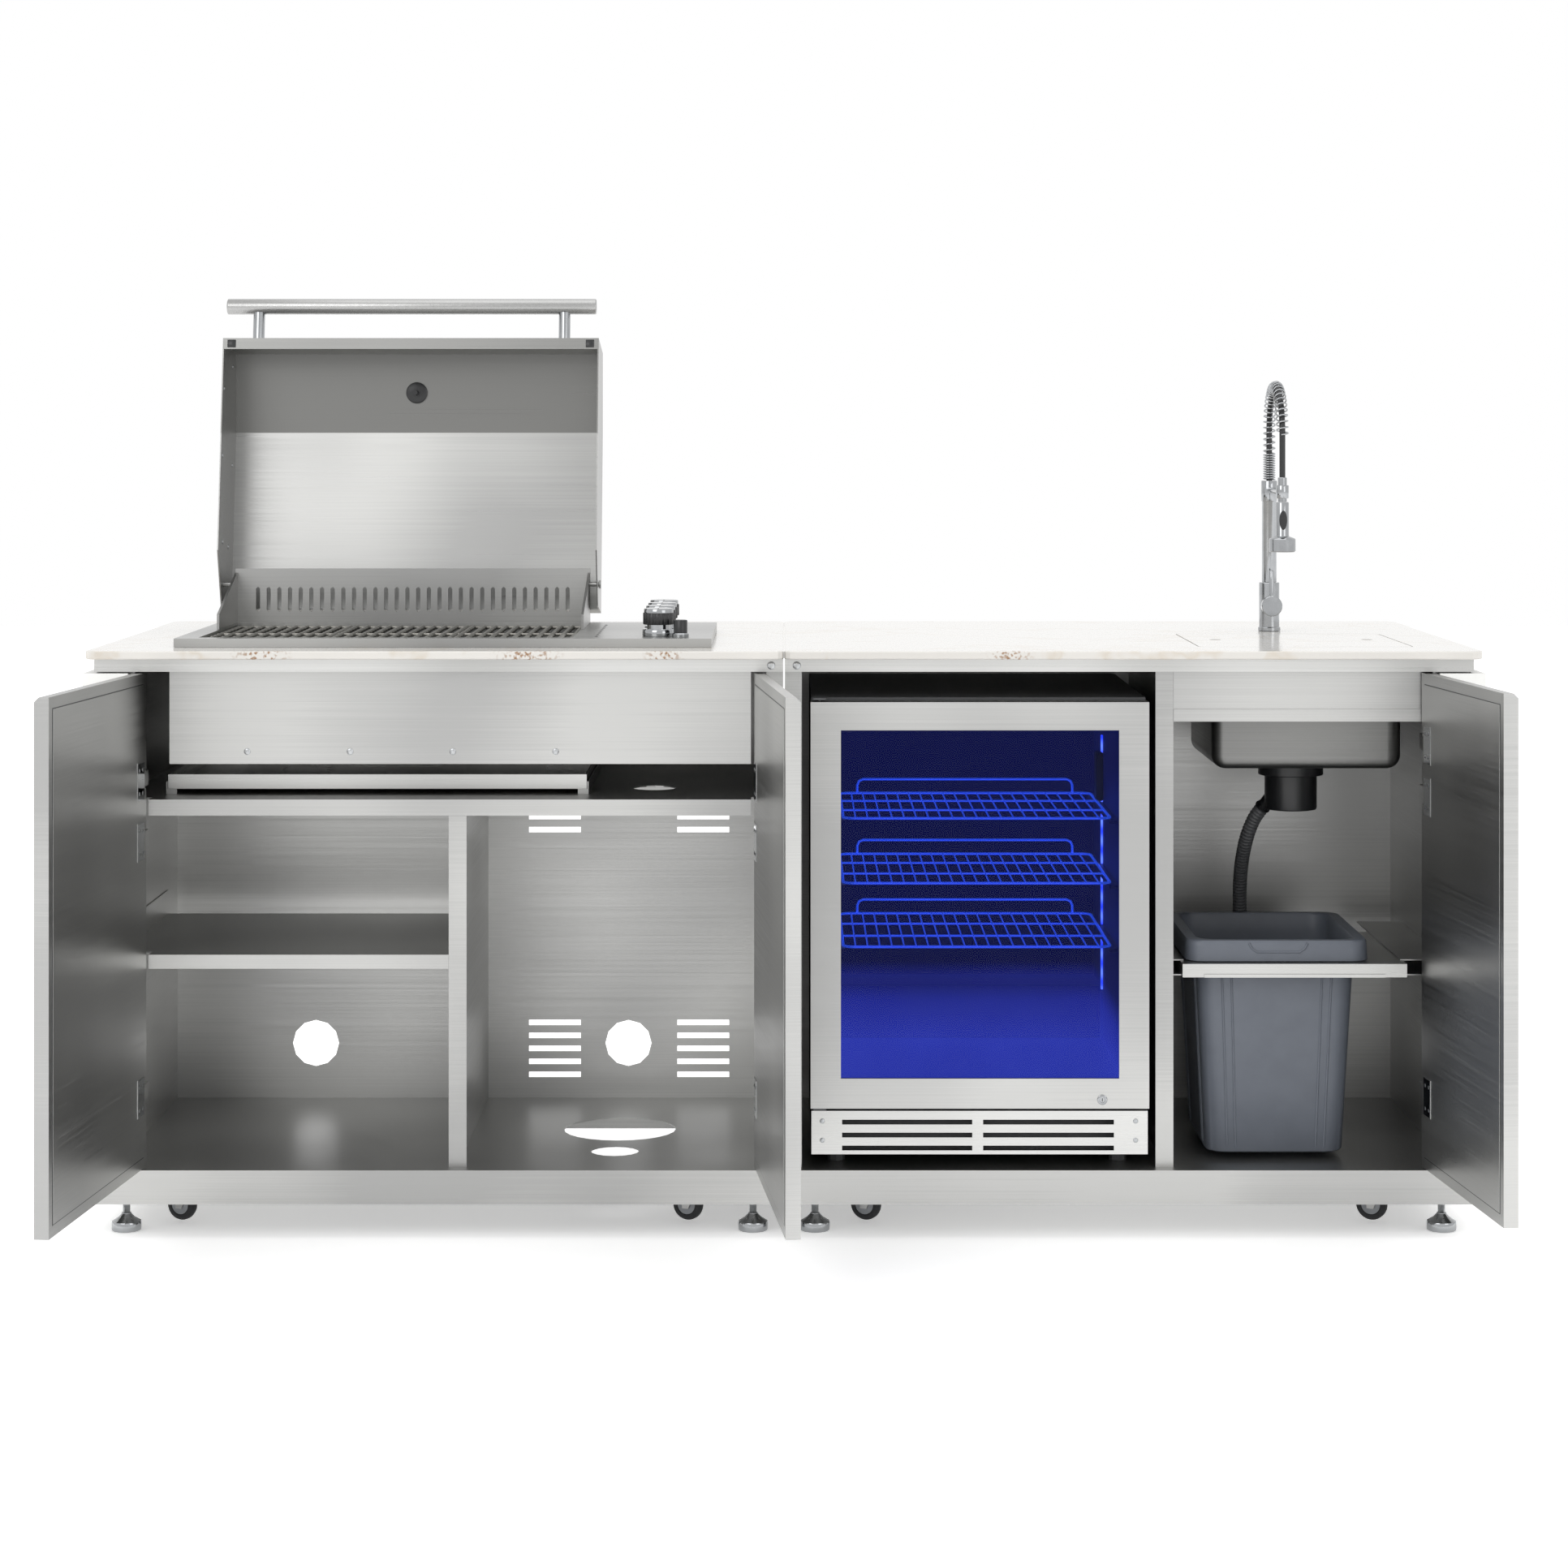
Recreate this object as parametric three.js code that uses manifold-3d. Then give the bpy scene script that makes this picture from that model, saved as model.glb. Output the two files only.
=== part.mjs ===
// Outdoor kitchen island: two steel cabinets under marble slabs, with a drop-in gas grill,
// a glass-door refrigerator, a sink with a spring faucet and a pull-out waste bin.
// Millimetres. X runs right, Y to the back and Z up. While the pieces are drawn, X 0 is the
// seam between the cabinets, Y 0 the plane of the closed doors and Z 0 the floor.
import * as THREE from 'three';
import { mergeGeometries, mergeVertices } from 'three/addons/utils/BufferGeometryUtils.js';
import Module from 'manifold-3d';

const wasm = await Module();
wasm.setup();

// Clearances
const seat = 0.3;
const running = 1;
const overrun = 6;
const domeTopShare = 0.6;

// Cabinets
const cabinetWidth = 1078;
const halfSeam = 1.5;
const cabinetDepth = 588;
const sheet = 1.5;
const traySheet = 2;
const baseBottom = 53;
const baseTop = 106.4;
const slabBottom = 907;
const postSetBack = 25;
const outerPostWidth = 59.5;
const outerPostDepth = 34;
const outerWallThickness = 28.5;
const middleWallThickness = 26.5;
const cabinetEdge = halfSeam + cabinetWidth;
const outerPostEdge = cabinetEdge - outerPostWidth;
const outerWallFace = cabinetEdge - outerWallThickness;
const middleWallFace = halfSeam + middleWallThickness;
const leftDividerX = 26 - cabinetWidth / 2;
const leftDoorEdge = -outerPostEdge;
const rightDoorEdge = -middleWallFace;
const sinkDoorEdge = outerPostEdge;
const sinkDoorWidth = 422;
const rightDividerX = sinkDoorEdge - sinkDoorWidth;
const bayTankX = leftDividerX / 2 - 15;
const tankHoleY = cabinetDepth / 2 + 25;
const tankHoleRadius = 92.5;
const smallHoleY = 146;
const smallHoleRadius = 39;

// Back panels
const ventLength = 90;
const ventHeight = 9.6;
const ventPitch = 22.5;
const ventInnerX = 95;
const ventOuterX = cabinetWidth / 2 - 187;
const ventLowZ = 141.8;
const ventHighZ = 566;
const ventLowRows = 5;
const ventHighRows = 4;
const backHoleRadius = 40;
const backHoleZ = 201;
const backHoleXs = [cabinetWidth / 4, cabinetEdge - 268.5];

// Dividers and shelves
const dividerFlange = 28;
const shelfLeft = 21 - outerPostEdge;
const shelfRight = -52;
const heatShelfTop = 684;
const heatShelfLip = 25.3;
const lowShelfTop = 440;
const lowShelfLip = 22;
const lowShelfBack = cabinetDepth - 104;
const upstandHeight = 40;
const hoseHoleX = -210;
const hoseHoleY = 200;
const hoseHoleRadius = 35;

// End panels, top rails and fascias
const panelThickness = 18;
const panelReturn = 71;
const panelTop = 884;
const railHeight = 20;
const railBoltX = 20;
const railBoltRadius = 6;
const railBoltHead = 3;
const fasciaTop = 886;
const grillFasciaLeft = 54 - outerPostEdge;
const grillFasciaBottom = 740;
const fasciaFold = 26;
const fasciaBoltPitch = 161.6;
const fasciaBoltLeft = grillFasciaLeft + 122.3;
const fasciaBoltZ = 759.5;
const fasciaBoltRadius = 5;
const fasciaBoltHead = 2;
const fasciaBolts = 4;
const sinkFasciaRight = sinkDoorEdge - 17;
const sinkFasciaBottom = 806.7;
const sinkLipHeight = 18;
const sinkLipProud = 2;

// Worktops
const slabThickness = 13;
const slabReach = cabinetEdge + 12.5;
const slabGap = 0.5;
const slabFront = -22;
const slabBack = 795;
const slabCorner = 18;
const slabEase = 1.5;

// Levelling feet and casters
const footRadius = 23;
const footPad = 14;
const footCone = 12;
const footStemRadius = 5;
const footInset = 40;
const footOuterX = cabinetEdge - 39.5;
const footInnerX = 49;
const footFrontY = 60;
const wheelRadius = 25;
const wheelWidth = 17;
const wheelCrown = 4;
const wheelBore = 3.7;
const wheelLift = 3.5;
const axleRadius = 3;
const forkWall = 2.5;
const forkPlate = 40;
const forkPlateThickness = 3;
const forkTrail = 12;
const forkHeel = 7.2;
const forkToe = 5.4;
const forkYaw = THREE.MathUtils.degToRad(65);
const casterOuterX = cabinetEdge - 129.5;
const casterInnerX = 142;
const casterFrontY = 110;

// Cabinet doors
const doorThickness = 22;
const doorSheet = 1.2;
const doorBottom = 109;
const doorTop = 884;
const doorBevel = 7;
const doorOpening = THREE.MathUtils.degToRad(95.7);
const pairDoorWidth = (outerPostEdge - middleWallFace) / 2 - 1;

// Door hinges, each with a knuckle on the cabinet between two eyes on the door
const pivotInset = 7.6;
const pivotDepth = 11.4;
const hingeHeight = 60;
const hingePlateWidth = 38;
const hingePlateThickness = 1.5;
const knuckleRadius = 5;
const knuckleHeight = 24;
const eyeThickness = 4;
const hingePinRadius = 2;
const hingeBoreRadius = 2.7;
const hingeArmDepth = 32;
const hingeArmWidth = 16;
const hingeArmStart = 14.5;
const pairHingeZs = [223, 622, 716];
const sinkHingeZs = [223, 693, 773];

// Grill
const grillLeft = 53 - outerPostEdge;
const grillRight = -115;
const grillFront = 67;
const grillBack = cabinetDepth - 73;
const grillLipHeight = 14;
const cookLeft = grillLeft + 35;
const cookRight = grillRight - 221;
const cookFront = 96;
const cookBack = grillBack - 15;
const knobPitch = (cookBack - cookFront - 143) / 3;
const tamerHalfWidth = knobPitch / 2 - 11.5;
const cutOutMargin = 17;
const cutOutBackMargin = 7;
const fireboxBottom = 745;
const fireboxWall = 5;
const outletHalf = 60;
const controlBoxBottom = 850;
const plateSheet = 2;
const rearWallTop = 1027;
const rearWallThickness = 4;
const rearSlots = 30;
const rearSlotWidth = 7;
const rearSlotHeight = 43;
const rearSlotTop = 996;
const rearSlotMargin = 30;
const cheekThickness = 4;
const cheekFront = 304;
const cheekFrontHeight = 25;
const cheekTop = 1020;
const grateTop = 931;
const grateRod = 7;
const grateRods = 11;
const grateSections = 3;
const ledgeDepth = 8;
const ledgeHeight = 5;
const burnerRadius = 15;
const burnerZ = 800;
const tamerHeight = 28;
const tamerZ = 850;
const tamerSheet = 2;

// Grill lid, drawn closed about its pivot: f forward and g above it
const lidPivotY = cookBack - 17;
const lidPivotZ = 1000.7;
const lidLeft = grillLeft + 10;
const lidRight = cookRight + 20;
const lidSheet = 2;
const lidOpening = THREE.MathUtils.degToRad(100);
const lidFront = lidPivotY - 68;
const lidBrow = 278;
const lidBackLip = 38;
const lidTopG = 95;
const lidBrowG = 72;
const lidRimG = -64;
const lidLipG = 45;
const lidHeelG = -10;
const lidHeelF = 50;
const lidRim = 19;
const lidPinRadius = 4;
const lidPinClearance = 0.6;
const lidPinHead = 7;
const lidPinHeadThickness = 3;
const handleRadius = 13.5;
const handleF = lidFront + 72;
const handleG = 20;
const handleLeft = lidLeft - 7;
const handleRight = lidRight - 9;
const standoffRadius = 10;
const standoffXs = [lidLeft + 48, lidRight - 64];
const gaugeX = (lidLeft + lidRight) / 2 - 3.5;
const gaugeRadius = 18.5;
const gaugeDepth = 9;
const gaugeStem = 30;
const gaugeStemRadius = 4;
const gaugeF = lidFront - 68;

// Grill knobs
const knobX = grillRight - 86;
const knobYs = [0, 1, 2, 3].map((i) => cookFront + 39 + i * knobPitch);
const knobHeight = 45;
const knobRadius = 25;
const igniterX = grillRight - 50;
const igniterY = 105;
const igniterHeight = 28;
const igniterRadius = 12;
const knobSkirtShare = 0.26;
const knobNeckShare = 0.42;
const knobNeckRadiusShare = 0.76;
const knobCapRadiusShare = 0.93;
const knobStemRadius = 4;
const knobStem = 12;

// Grease tray
const trayLeft = 37 - outerPostEdge;
const trayRight = lidRight + 1;
const trayFront = 110;
const trayBack = cookBack;
const trayBottom = 692;
const trayTop = 715;
const trayRailWidth = 14;
const trayRailHeight = 12;

// Refrigerator
const fridgeLeft = 43;
const fridgeRight = rightDividerX - 28;
const fridgeFront = 44;
const fridgeBack = cabinetDepth - 32;
const fridgeBottom = 130;
const fridgeTop = 843;
const fridgeWall = 38;
const linerBottom = 243;
const humpTop = 330;
const humpFront = fridgeBack - 156;
const fridgeFootRadius = 14;
const fridgeFootInset = 40;
const fridgeDoorLeft = fridgeLeft - 1.3;
const fridgeDoorRight = fridgeRight + 1.5;
const fridgeDoorBottom = 203;
const fridgeDoorThickness = 40;
const windowLeft = fridgeLeft + 46;
const windowRight = fridgeRight - 45.5;
const windowBottom = 250;
const windowTop = 795;
const paneRebate = 8;
const paneFront = 6;
const paneThickness = 20;
const gasketWidth = 12;
const fridgePivotInset = 14;
const fridgePinRadius = 3;
const fridgeSocketRadius = 3.7;
const fridgePinLength = 12;
const bracketThickness = 3;
const bracketWidth = 20;
const rackLeft = fridgeLeft + 49;
const rackRight = fridgeRight - 49;
const rackFront = 80;
const rackBack = fridgeBack - 96;
const rackZs = [442, 543, 646];
const rackFrameRod = 4.5;
const rackBarRod = 2.6;
const rackBars = 17;
const rackRailHeight = 28;
const rackRibHeight = 6;
const toeFront = 8;
const toeTop = 198;
const toeMiddle = (fridgeLeft + fridgeRight) / 2;
const toeSlotXs = [[fridgeLeft + 48, toeMiddle - 11.5], [toeMiddle + 5.5, fridgeRight - 53]];
const toeSlotHeight = 7.6;
const toeSlotPitch = 20.3;
const toeSlotLow = 136;
const toeSlots = 3;

// Sink
const coverLeft = rightDividerX + 63;
const coverRight = sinkDoorEdge - 20;
const coverFront = 87;
const coverBack = cabinetDepth - 164;
const coverGap = 2;
const coverCorner = 12;
const fingerRadius = 10;
const fingerXs = [coverLeft + 47, coverRight - 43];
const fingerY = 270;
const bowlLeft = coverLeft + 22;
const bowlRight = coverRight - 15;
const bowlFront = 95;
const bowlBack = coverBack - 6;
const bowlBottom = 724;
const bowlSheet = 2;
const bowlCorner = 25;
const bowlFlange = 18;
const drainX = (coverLeft + coverRight) / 2;
const drainY = (coverFront + coverBack) / 2 + 4.5;
const drainFlangeRadius = 53;
const drainFlangeBottom = 700;
const drainCupRadius = 42.5;
const drainCupBottom = 643;
const drainWall = 3;
const drainThroat = 36;
const spigotRadius = 10;
const grommetRadius = 18;

// Drain hose: its route, chosen by hand, and its ribs
const hoseRoute = [
  [-41.2, 300.7, 641], [-52, 311.5, 622.7], [-61.5, 326, 594],
  [-66.5, 350, 556], [-67.5, 376, 514], [-65.5, 398, 468],
  [-62.5, 411, 420], [-61.5, 418, 370], [-62.5, 426, 322],
  [-64.5, 443, 278], [-65.5, 471, 246], [-65.5, 508, 229],
  [-65.5, 543, 225], [-65.5, 573.7, 225],
].map(([x, y, z]) => [drainX + x, (y * cabinetDepth) / 588, z]);
const hoseRadius = 12;
const hoseValley = 10;
const hoseBore = 8.5;
const ribPitch = 11;
const ringPoints = 8;
const ribsPerBoreRing = 5;

// Faucet
const faucetX = drainX - 0.5;
const faucetY = coverBack + 84;
const faucetRingRadius = 19;
const faucetRingHeight = 7;
const faucetBaseRadius = 17.2;
const faucetBaseTop = 1003;
const columnRadius = 12.5;
const columnTop = 1142;
const collarRadius = 13.5;
const collarTop = 1177;
const archRadius = 78.5;
const archZ = 1257.5;
const archSteps = 10;
const innerHoseRadius = 5;
const sleeveRadius = 7.5;
const sleeveTop = 1185;
const holderTop = 1172;
const holderBottom = 1150;
const holderRadius = 10.5;
const holderArm = 5;
const sprayTop = 1144;
const sprayNeck = 1086;
const sprayRadius = 10.8;
const sprayFaceRadius = 22;
const sprayFaceTop = 1083;
const sprayFaceBottom = 1061;
const buttonWidth = 13;
const buttonHeight = 32;
const buttonZ = 1114;
const buttonDepth = 4;
const buttonProud = 1.2;
const buttonTravel = 1.2;
const leverZ = 964;
const leverRadius = 17.5;
const leverDepth = 14;
const leverBoss = 10;
const leverRod = 4.35;
const leverTop = 1025;
const springWire = 1.3;
const springMean = 9.55;
const denseLength = 44;
const densePitch = 4;
const openPitch = 10;
const curlSteps = 8;
const wireSides = 5;

// Waste bin, its sliding frame and its runners, drawn pushed in
const binX = drainX - 50.5;
const binFront = 45;
const binDepth = cabinetDepth - 258;
const binRimWidth = 290;
const binBodyWidth = 250;
const binFootWidth = 218;
const binBodyDepth = 296;
const binFootDepth = 262;
const binRimTop = 459;
const binBottom = 118;
const binWall = 3;
const binCorner = 30;
const frameLeft = rightDividerX + 29;
const frameRight = outerWallFace - 71;
const frameFront = 28;
const frameBack = cabinetDepth - 214;
const frameTop = 425;
const frameBottom = 404;
const frameSheet = 2;
const stripHeight = 5;
const stripInset = 34;
const stripProud = 2.5;
const runnerFront = 62;
const runnerBack = cabinetDepth - 108;
const runnerSheet = 2;
const runnerHold = 13;

const TURN = 2 * Math.PI;
const HALF = Math.PI;
const QUARTER = Math.PI / 2;

// Derived places
const wallTop = slabBottom - seat;
const slabTop = slabBottom + slabThickness;
const backFace = cabinetDepth - sheet;
const wallBack = backFace + sheet / 2;
const wallFoot = baseTop - traySheet / 2;
const floorTop = baseTop + seat;
const panelFront = backFace - seat;
const panelFoot = baseTop - traySheet / 3;
const panelFace = panelFront - seat;

// Closed outlines, each a list of points in a plane
function arc([u, v], radius, start, sweep, steps) {
  return Array.from({ length: steps + 1 }, (_, i) => {
    const angle = start + (sweep * i) / steps;
    return [u + radius * Math.cos(angle), v + radius * Math.sin(angle)];
  });
}

function circle(centre, radius, steps) {
  return arc(centre, radius, 0, TURN, steps).slice(1);
}

function rectangle([u0, v0], [u1, v1]) {
  return [[u0, v0], [u1, v0], [u1, v1], [u0, v1]];
}

function roundedRectangle([u0, v0], [u1, v1], radius, steps) {
  return [
    ...arc([u1 - radius, v1 - radius], radius, 0, QUARTER, steps),
    ...arc([u0 + radius, v1 - radius], radius, QUARTER, QUARTER, steps),
    ...arc([u0 + radius, v0 + radius], radius, HALF, QUARTER, steps),
    ...arc([u1 - radius, v0 + radius], radius, HALF + QUARTER, QUARTER, steps),
  ];
}

function slot(low, high, steps) {
  const radius = Math.min(high[0] - low[0], high[1] - low[1]) / 2;
  return roundedRectangle(low, high, radius, steps);
}

function asPoints(points) {
  const far = (p, q) => Math.hypot(p[0] - q[0], p[1] - q[1]) > seat / overrun;
  const kept = points.filter((p, i) => far(p, points.at(i - 1)));
  return kept.map(([u, v]) => new THREE.Vector2(u, v));
}

// Geometry with shared vertices, no folded faces and its faces pointing out
function clean(geometry) {
  geometry.deleteAttribute('normal');
  geometry.deleteAttribute('uv');
  const merged = mergeVertices(geometry);
  const spots = merged.attributes.position;
  const corners = merged.index.array;
  const kept = [];
  const [a, b, c] = [0, 0, 0].map(() => new THREE.Vector3());
  let volume = 0;
  for (let i = 0; i < corners.length; i += 3) {
    const [p, q, r] = corners.slice(i, i + 3);
    if (p !== q && q !== r && r !== p) {
      kept.push(p, q, r);
      a.fromBufferAttribute(spots, p);
      b.fromBufferAttribute(spots, q);
      c.fromBufferAttribute(spots, r);
      volume += a.dot(b.cross(c));
    }
  }
  merged.setIndex(volume < 0 ? kept.reverse() : kept);
  return merged;
}

function toManifold(geometry) {
  return new wasm.Manifold(new wasm.Mesh({
    numProp: 3,
    vertProperties: new Float32Array(geometry.attributes.position.array),
    triVerts: new Uint32Array(geometry.index.array),
  }));
}

function fromManifold(body) {
  const { vertProperties, triVerts } = body.getMesh();
  const geometry = new THREE.BufferGeometry();
  geometry.setAttribute('position', new THREE.BufferAttribute(vertProperties, 3));
  geometry.setIndex([...triVerts]);
  return geometry;
}

function join(...geometries) {
  return fromManifold(geometries.map(toManifold).reduce((whole, next) => whole.add(next)));
}

function cut(geometry, ...tools) {
  return fromManifold(tools.map(toManifold)
    .reduce((whole, tool) => whole.subtract(tool), toManifold(geometry)));
}

function block(low, high) {
  const size = high.map((v, i) => v - low[i]);
  const geometry = new THREE.BoxGeometry(...size);
  geometry.translate(...low.map((v, i) => v + size[i] / 2));
  return clean(geometry);
}

// Outlines run (y, z) for a prism along x, (z, x) along y and (x, y) along z
const X = new THREE.Vector3(1, 0, 0);
const Y = new THREE.Vector3(0, 1, 0);
const Z = new THREE.Vector3(0, 0, 1);
const PRISM_TURNS = {
  x: new THREE.Matrix4().makeBasis(Y, Z, X),
  y: new THREE.Matrix4().makeBasis(Z, X, Y),
  z: new THREE.Matrix4(),
};

function prism(axis, points, from, to, holes = [], bevel = 0) {
  const shape = new THREE.Shape(asPoints(points));
  const geometry = new THREE.ExtrudeGeometry(shape, {
    depth: to - from - 2 * bevel,
    bevelEnabled: bevel > 0,
    bevelThickness: bevel,
    bevelSize: bevel,
    bevelOffset: -bevel,
    bevelSegments: 1,
  });
  geometry.translate(0, 0, from + bevel);
  const body = clean(geometry.applyMatrix4(PRISM_TURNS[axis]));
  if (!holes.length) return body;
  return cut(body, ...holes.map((hole) => prism(axis, hole, from - overrun, to + overrun)));
}

// Revolved shape: the profile's points are (radius, height along the axis)
function turned(profile, centre, direction, steps) {
  const geometry = new THREE.LatheGeometry(profile.map(([r, h]) => new THREE.Vector2(r, h)), steps);
  geometry.applyQuaternion(new THREE.Quaternion().setFromUnitVectors(Y, direction));
  geometry.translate(...centre);
  return clean(geometry);
}

function rod(from, to, radius, steps) {
  const start = new THREE.Vector3(...from);
  const run = new THREE.Vector3(...to).sub(start);
  const length = run.length();
  return turned([[0, 0], [radius, 0], [radius, length], [0, length]], from, run.normalize(), steps);
}

function moved(geometry, [x, y, z], yaw = 0) {
  return geometry.clone().applyMatrix4(new THREE.Matrix4().makeRotationZ(yaw).setPosition(x, y, z));
}

// Finishes
function finish(color, roughness, metalness, extra = {}) {
  return new THREE.MeshStandardMaterial({ color, roughness, metalness, flatShading: true, ...extra });
}
const brushedSteel = finish(0xa9a9a8, 0.38, 1);
const brightSteel = finish(0xc9cac8, 0.25, 1);
const greySteel = finish(0x8d8e8e, 0.42, 1);
const chrome = finish(0xdfe1e3, 0.12, 1);
const marble = finish(0xf1efec, 0.15, 0);
const whiteEnamel = finish(0xf3f3f2, 0.4, 0);
const blackPlastic = finish(0x1b1c1e, 0.5, 0);
const castIron = finish(0x6f6e6b, 0.55, 0.8);
const tyreRubber = finish(0x26262a, 0.8, 0);
const hoseGrey = finish(0x3b3d40, 0.6, 0);
const binGrey = finish(0x5f6873, 0.55, 0);
const tintedGlass = finish(0x3c4c9c, 0.05, 0, { transparent: true, opacity: 0.35 });

const island = new THREE.Group();

function piece(name, material, geometries, place = [0, 0, 0], turn = [0, 0, 0]) {
  const mesh = new THREE.Mesh(mergeGeometries(geometries), material);
  mesh.name = name;
  mesh.position.set(...place);
  mesh.rotation.set(...turn);
  island.add(mesh);
}

// Base trays: a floor with a folded rail all round, open below
function baseTray(side) {
  const [x0, x1] = [side * halfSeam, side * cabinetEdge].sort((p, q) => p - q);
  const outer = block([x0, 0, baseBottom], [x1, cabinetDepth, baseTop]);
  const inner = block([x0 + traySheet, traySheet, baseBottom - overrun],
    [x1 - traySheet, cabinetDepth - traySheet, baseTop - traySheet]);
  const cuts = [inner];
  if (side < 0) {
    cuts.push(prism('z', circle([bayTankX, tankHoleY], tankHoleRadius, 24), baseBottom, baseTop + overrun));
    cuts.push(prism('z', circle([bayTankX, smallHoleY], smallHoleRadius, 16), baseBottom, baseTop + overrun));
  }
  return cut(outer, ...cuts);
}

// Side walls: folded sheet with a boxed post at the front outer corner
function outerWall(side) {
  const front = postSetBack;
  const postBack = front + outerPostDepth;
  const plan = [
    [cabinetEdge, front], [outerPostEdge, front], [outerPostEdge, postBack],
    [outerWallFace, postBack], [outerWallFace, wallBack], [cabinetEdge, wallBack],
    [cabinetEdge, wallBack - sheet], [outerWallFace + sheet, wallBack - sheet],
    [outerWallFace + sheet, postBack - sheet], [outerPostEdge + sheet, postBack - sheet],
    [outerPostEdge + sheet, front + sheet], [cabinetEdge, front + sheet],
  ];
  return prism('z', plan.map(([x, y]) => [side * x, y]), wallFoot, wallTop);
}

function middleWall(side) {
  const front = postSetBack;
  const plan = [
    [halfSeam, front], [middleWallFace, front], [middleWallFace, wallBack], [halfSeam, wallBack],
    [halfSeam, wallBack - sheet], [middleWallFace - sheet, wallBack - sheet],
    [middleWallFace - sheet, front + sheet], [halfSeam, front + sheet],
  ];
  return prism('z', plan.map(([x, y]) => [side * x, y]), wallFoot, wallTop);
}

// Back panels: sheet with rows of vents and service holes
function ventRow(side, x, z) {
  const ends = [side * x, side * (x + ventLength)].sort((p, q) => p - q);
  return rectangle([z, ends[0]], [z + ventHeight, ends[1]]);
}

function backPanel(side) {
  const ends = [side * (halfSeam + seat), side * (cabinetEdge - seat)].sort((p, q) => p - q);
  const holes = backHoleXs.map((x) => circle([backHoleZ, side * x], backHoleRadius, 12));
  const columns = [ventInnerX, ventOuterX];
  for (const x of columns) {
    for (let row = 0; row < ventLowRows; row += 1) {
      holes.push(ventRow(side, x, ventLowZ + row * ventPitch));
    }
    for (let row = 0; row < ventHighRows && side < 0; row += 1) {
      holes.push(ventRow(side, x, ventHighZ + row * ventPitch));
    }
  }
  return prism('y', rectangle([panelFoot, ends[0]], [wallTop - seat, ends[1]]), panelFront, panelFront + sheet, holes);
}

// Dividers: a web with a front flange, folded from one sheet
function divider(x, top) {
  const half = dividerFlange / 2;
  const skin = sheet / 2;
  const front = postSetBack;
  return prism('z', [
    [x - half, front], [x + half, front], [x + half, front + sheet], [x + skin, front + sheet],
    [x + skin, wallBack], [x - skin, wallBack], [x - skin, front + sheet], [x - half, front + sheet],
  ], wallFoot, top);
}

// Heat shelf under the grill, the half-width shelf below it and the grease tray's rails
function heatShelf() {
  const low = heatShelfTop - traySheet;
  const behindPosts = postSetBack + outerPostDepth + running;
  const lip = block([shelfLeft, postSetBack, heatShelfTop - heatShelfLip],
    [shelfRight, postSetBack + traySheet, heatShelfTop]);
  const narrow = block([shelfLeft, postSetBack, low], [shelfRight, behindPosts + overrun, heatShelfTop]);
  const wide = block([-outerWallFace + seat, behindPosts, low],
    [-middleWallFace - seat, panelFace, heatShelfTop]);
  const hole = prism('z', circle([hoseHoleX, hoseHoleY], hoseHoleRadius, 16),
    low - overrun, heatShelfTop + overrun);
  return cut(join(lip, narrow, wide), hole);
}

function lowShelf() {
  const low = lowShelfTop - traySheet;
  const wall = -outerWallFace + seat;
  const web = leftDividerX - sheet / 2 - seat;
  const flange = leftDividerX - dividerFlange / 2 - seat;
  const behindPosts = postSetBack + outerPostDepth + running;
  const lip = block([shelfLeft, postSetBack, lowShelfTop - lowShelfLip],
    [flange, postSetBack + traySheet, lowShelfTop]);
  const narrow = block([shelfLeft, postSetBack, low], [flange, behindPosts + overrun, lowShelfTop]);
  const wide = block([wall, behindPosts, low], [web, lowShelfBack, lowShelfTop]);
  const upstand = block([wall, behindPosts, low],
    [wall + traySheet, lowShelfBack, lowShelfTop + upstandHeight]);
  return join(lip, narrow, wide, upstand);
}

function trayRail(side) {
  const edge = side < 0 ? trayLeft : trayRight;
  const foot = heatShelfTop - traySheet / 2;
  const top = trayBottom - seat;
  const out = edge + side * (running + traySheet);
  const section = [
    [edge - side * trayRailWidth, foot], [out, foot], [out, top + trayRailHeight],
    [edge + side * running, top + trayRailHeight], [edge + side * running, top],
    [edge - side * trayRailWidth, top],
  ];
  return prism('y', section.map(([x, z]) => [z, x]), trayFront, trayBack);
}

// End panels: enamelled slabs that return round the front corner
function endPanel(side) {
  const inner = cabinetEdge + seat;
  const outer = inner + panelThickness;
  const ends = [side * inner, side * outer].sort((p, q) => p - q);
  const slab = block([ends[0], 0, baseBottom], [ends[1], cabinetDepth, panelTop]);
  const fold = [side * (outer - panelReturn), side * outer].sort((p, q) => p - q);
  const front = block([fold[0], 0, baseTop + running], [fold[1], panelThickness, panelTop]);
  return join(slab, front);
}

// Top rails: channels along the front, under the slabs
function dome(x, y, z, radius, height) {
  const toFront = new THREE.Vector3(0, -1, 0);
  const profile = [[0, -height], [radius, -height], [radius, 0], [radius * domeTopShare, height],
    [0, height]];
  return turned(profile, [x, y, z], toFront, 6);
}

function topRail(side) {
  const top = wallTop;
  const low = top - railHeight;
  const back = postSetBack - seat;
  const ends = [side * halfSeam, side * cabinetEdge].sort((p, q) => p - q);
  const channel = prism('x', [
    [0, low], [back, low], [back, low + sheet], [sheet, low + sheet],
    [sheet, top - sheet], [back, top - sheet], [back, top], [0, top],
  ], ends[0], ends[1]);
  const bolt = dome(side * railBoltX, sheet / 2, (low + top) / 2, railBoltRadius, railBoltHead);
  return join(channel, bolt);
}

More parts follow.
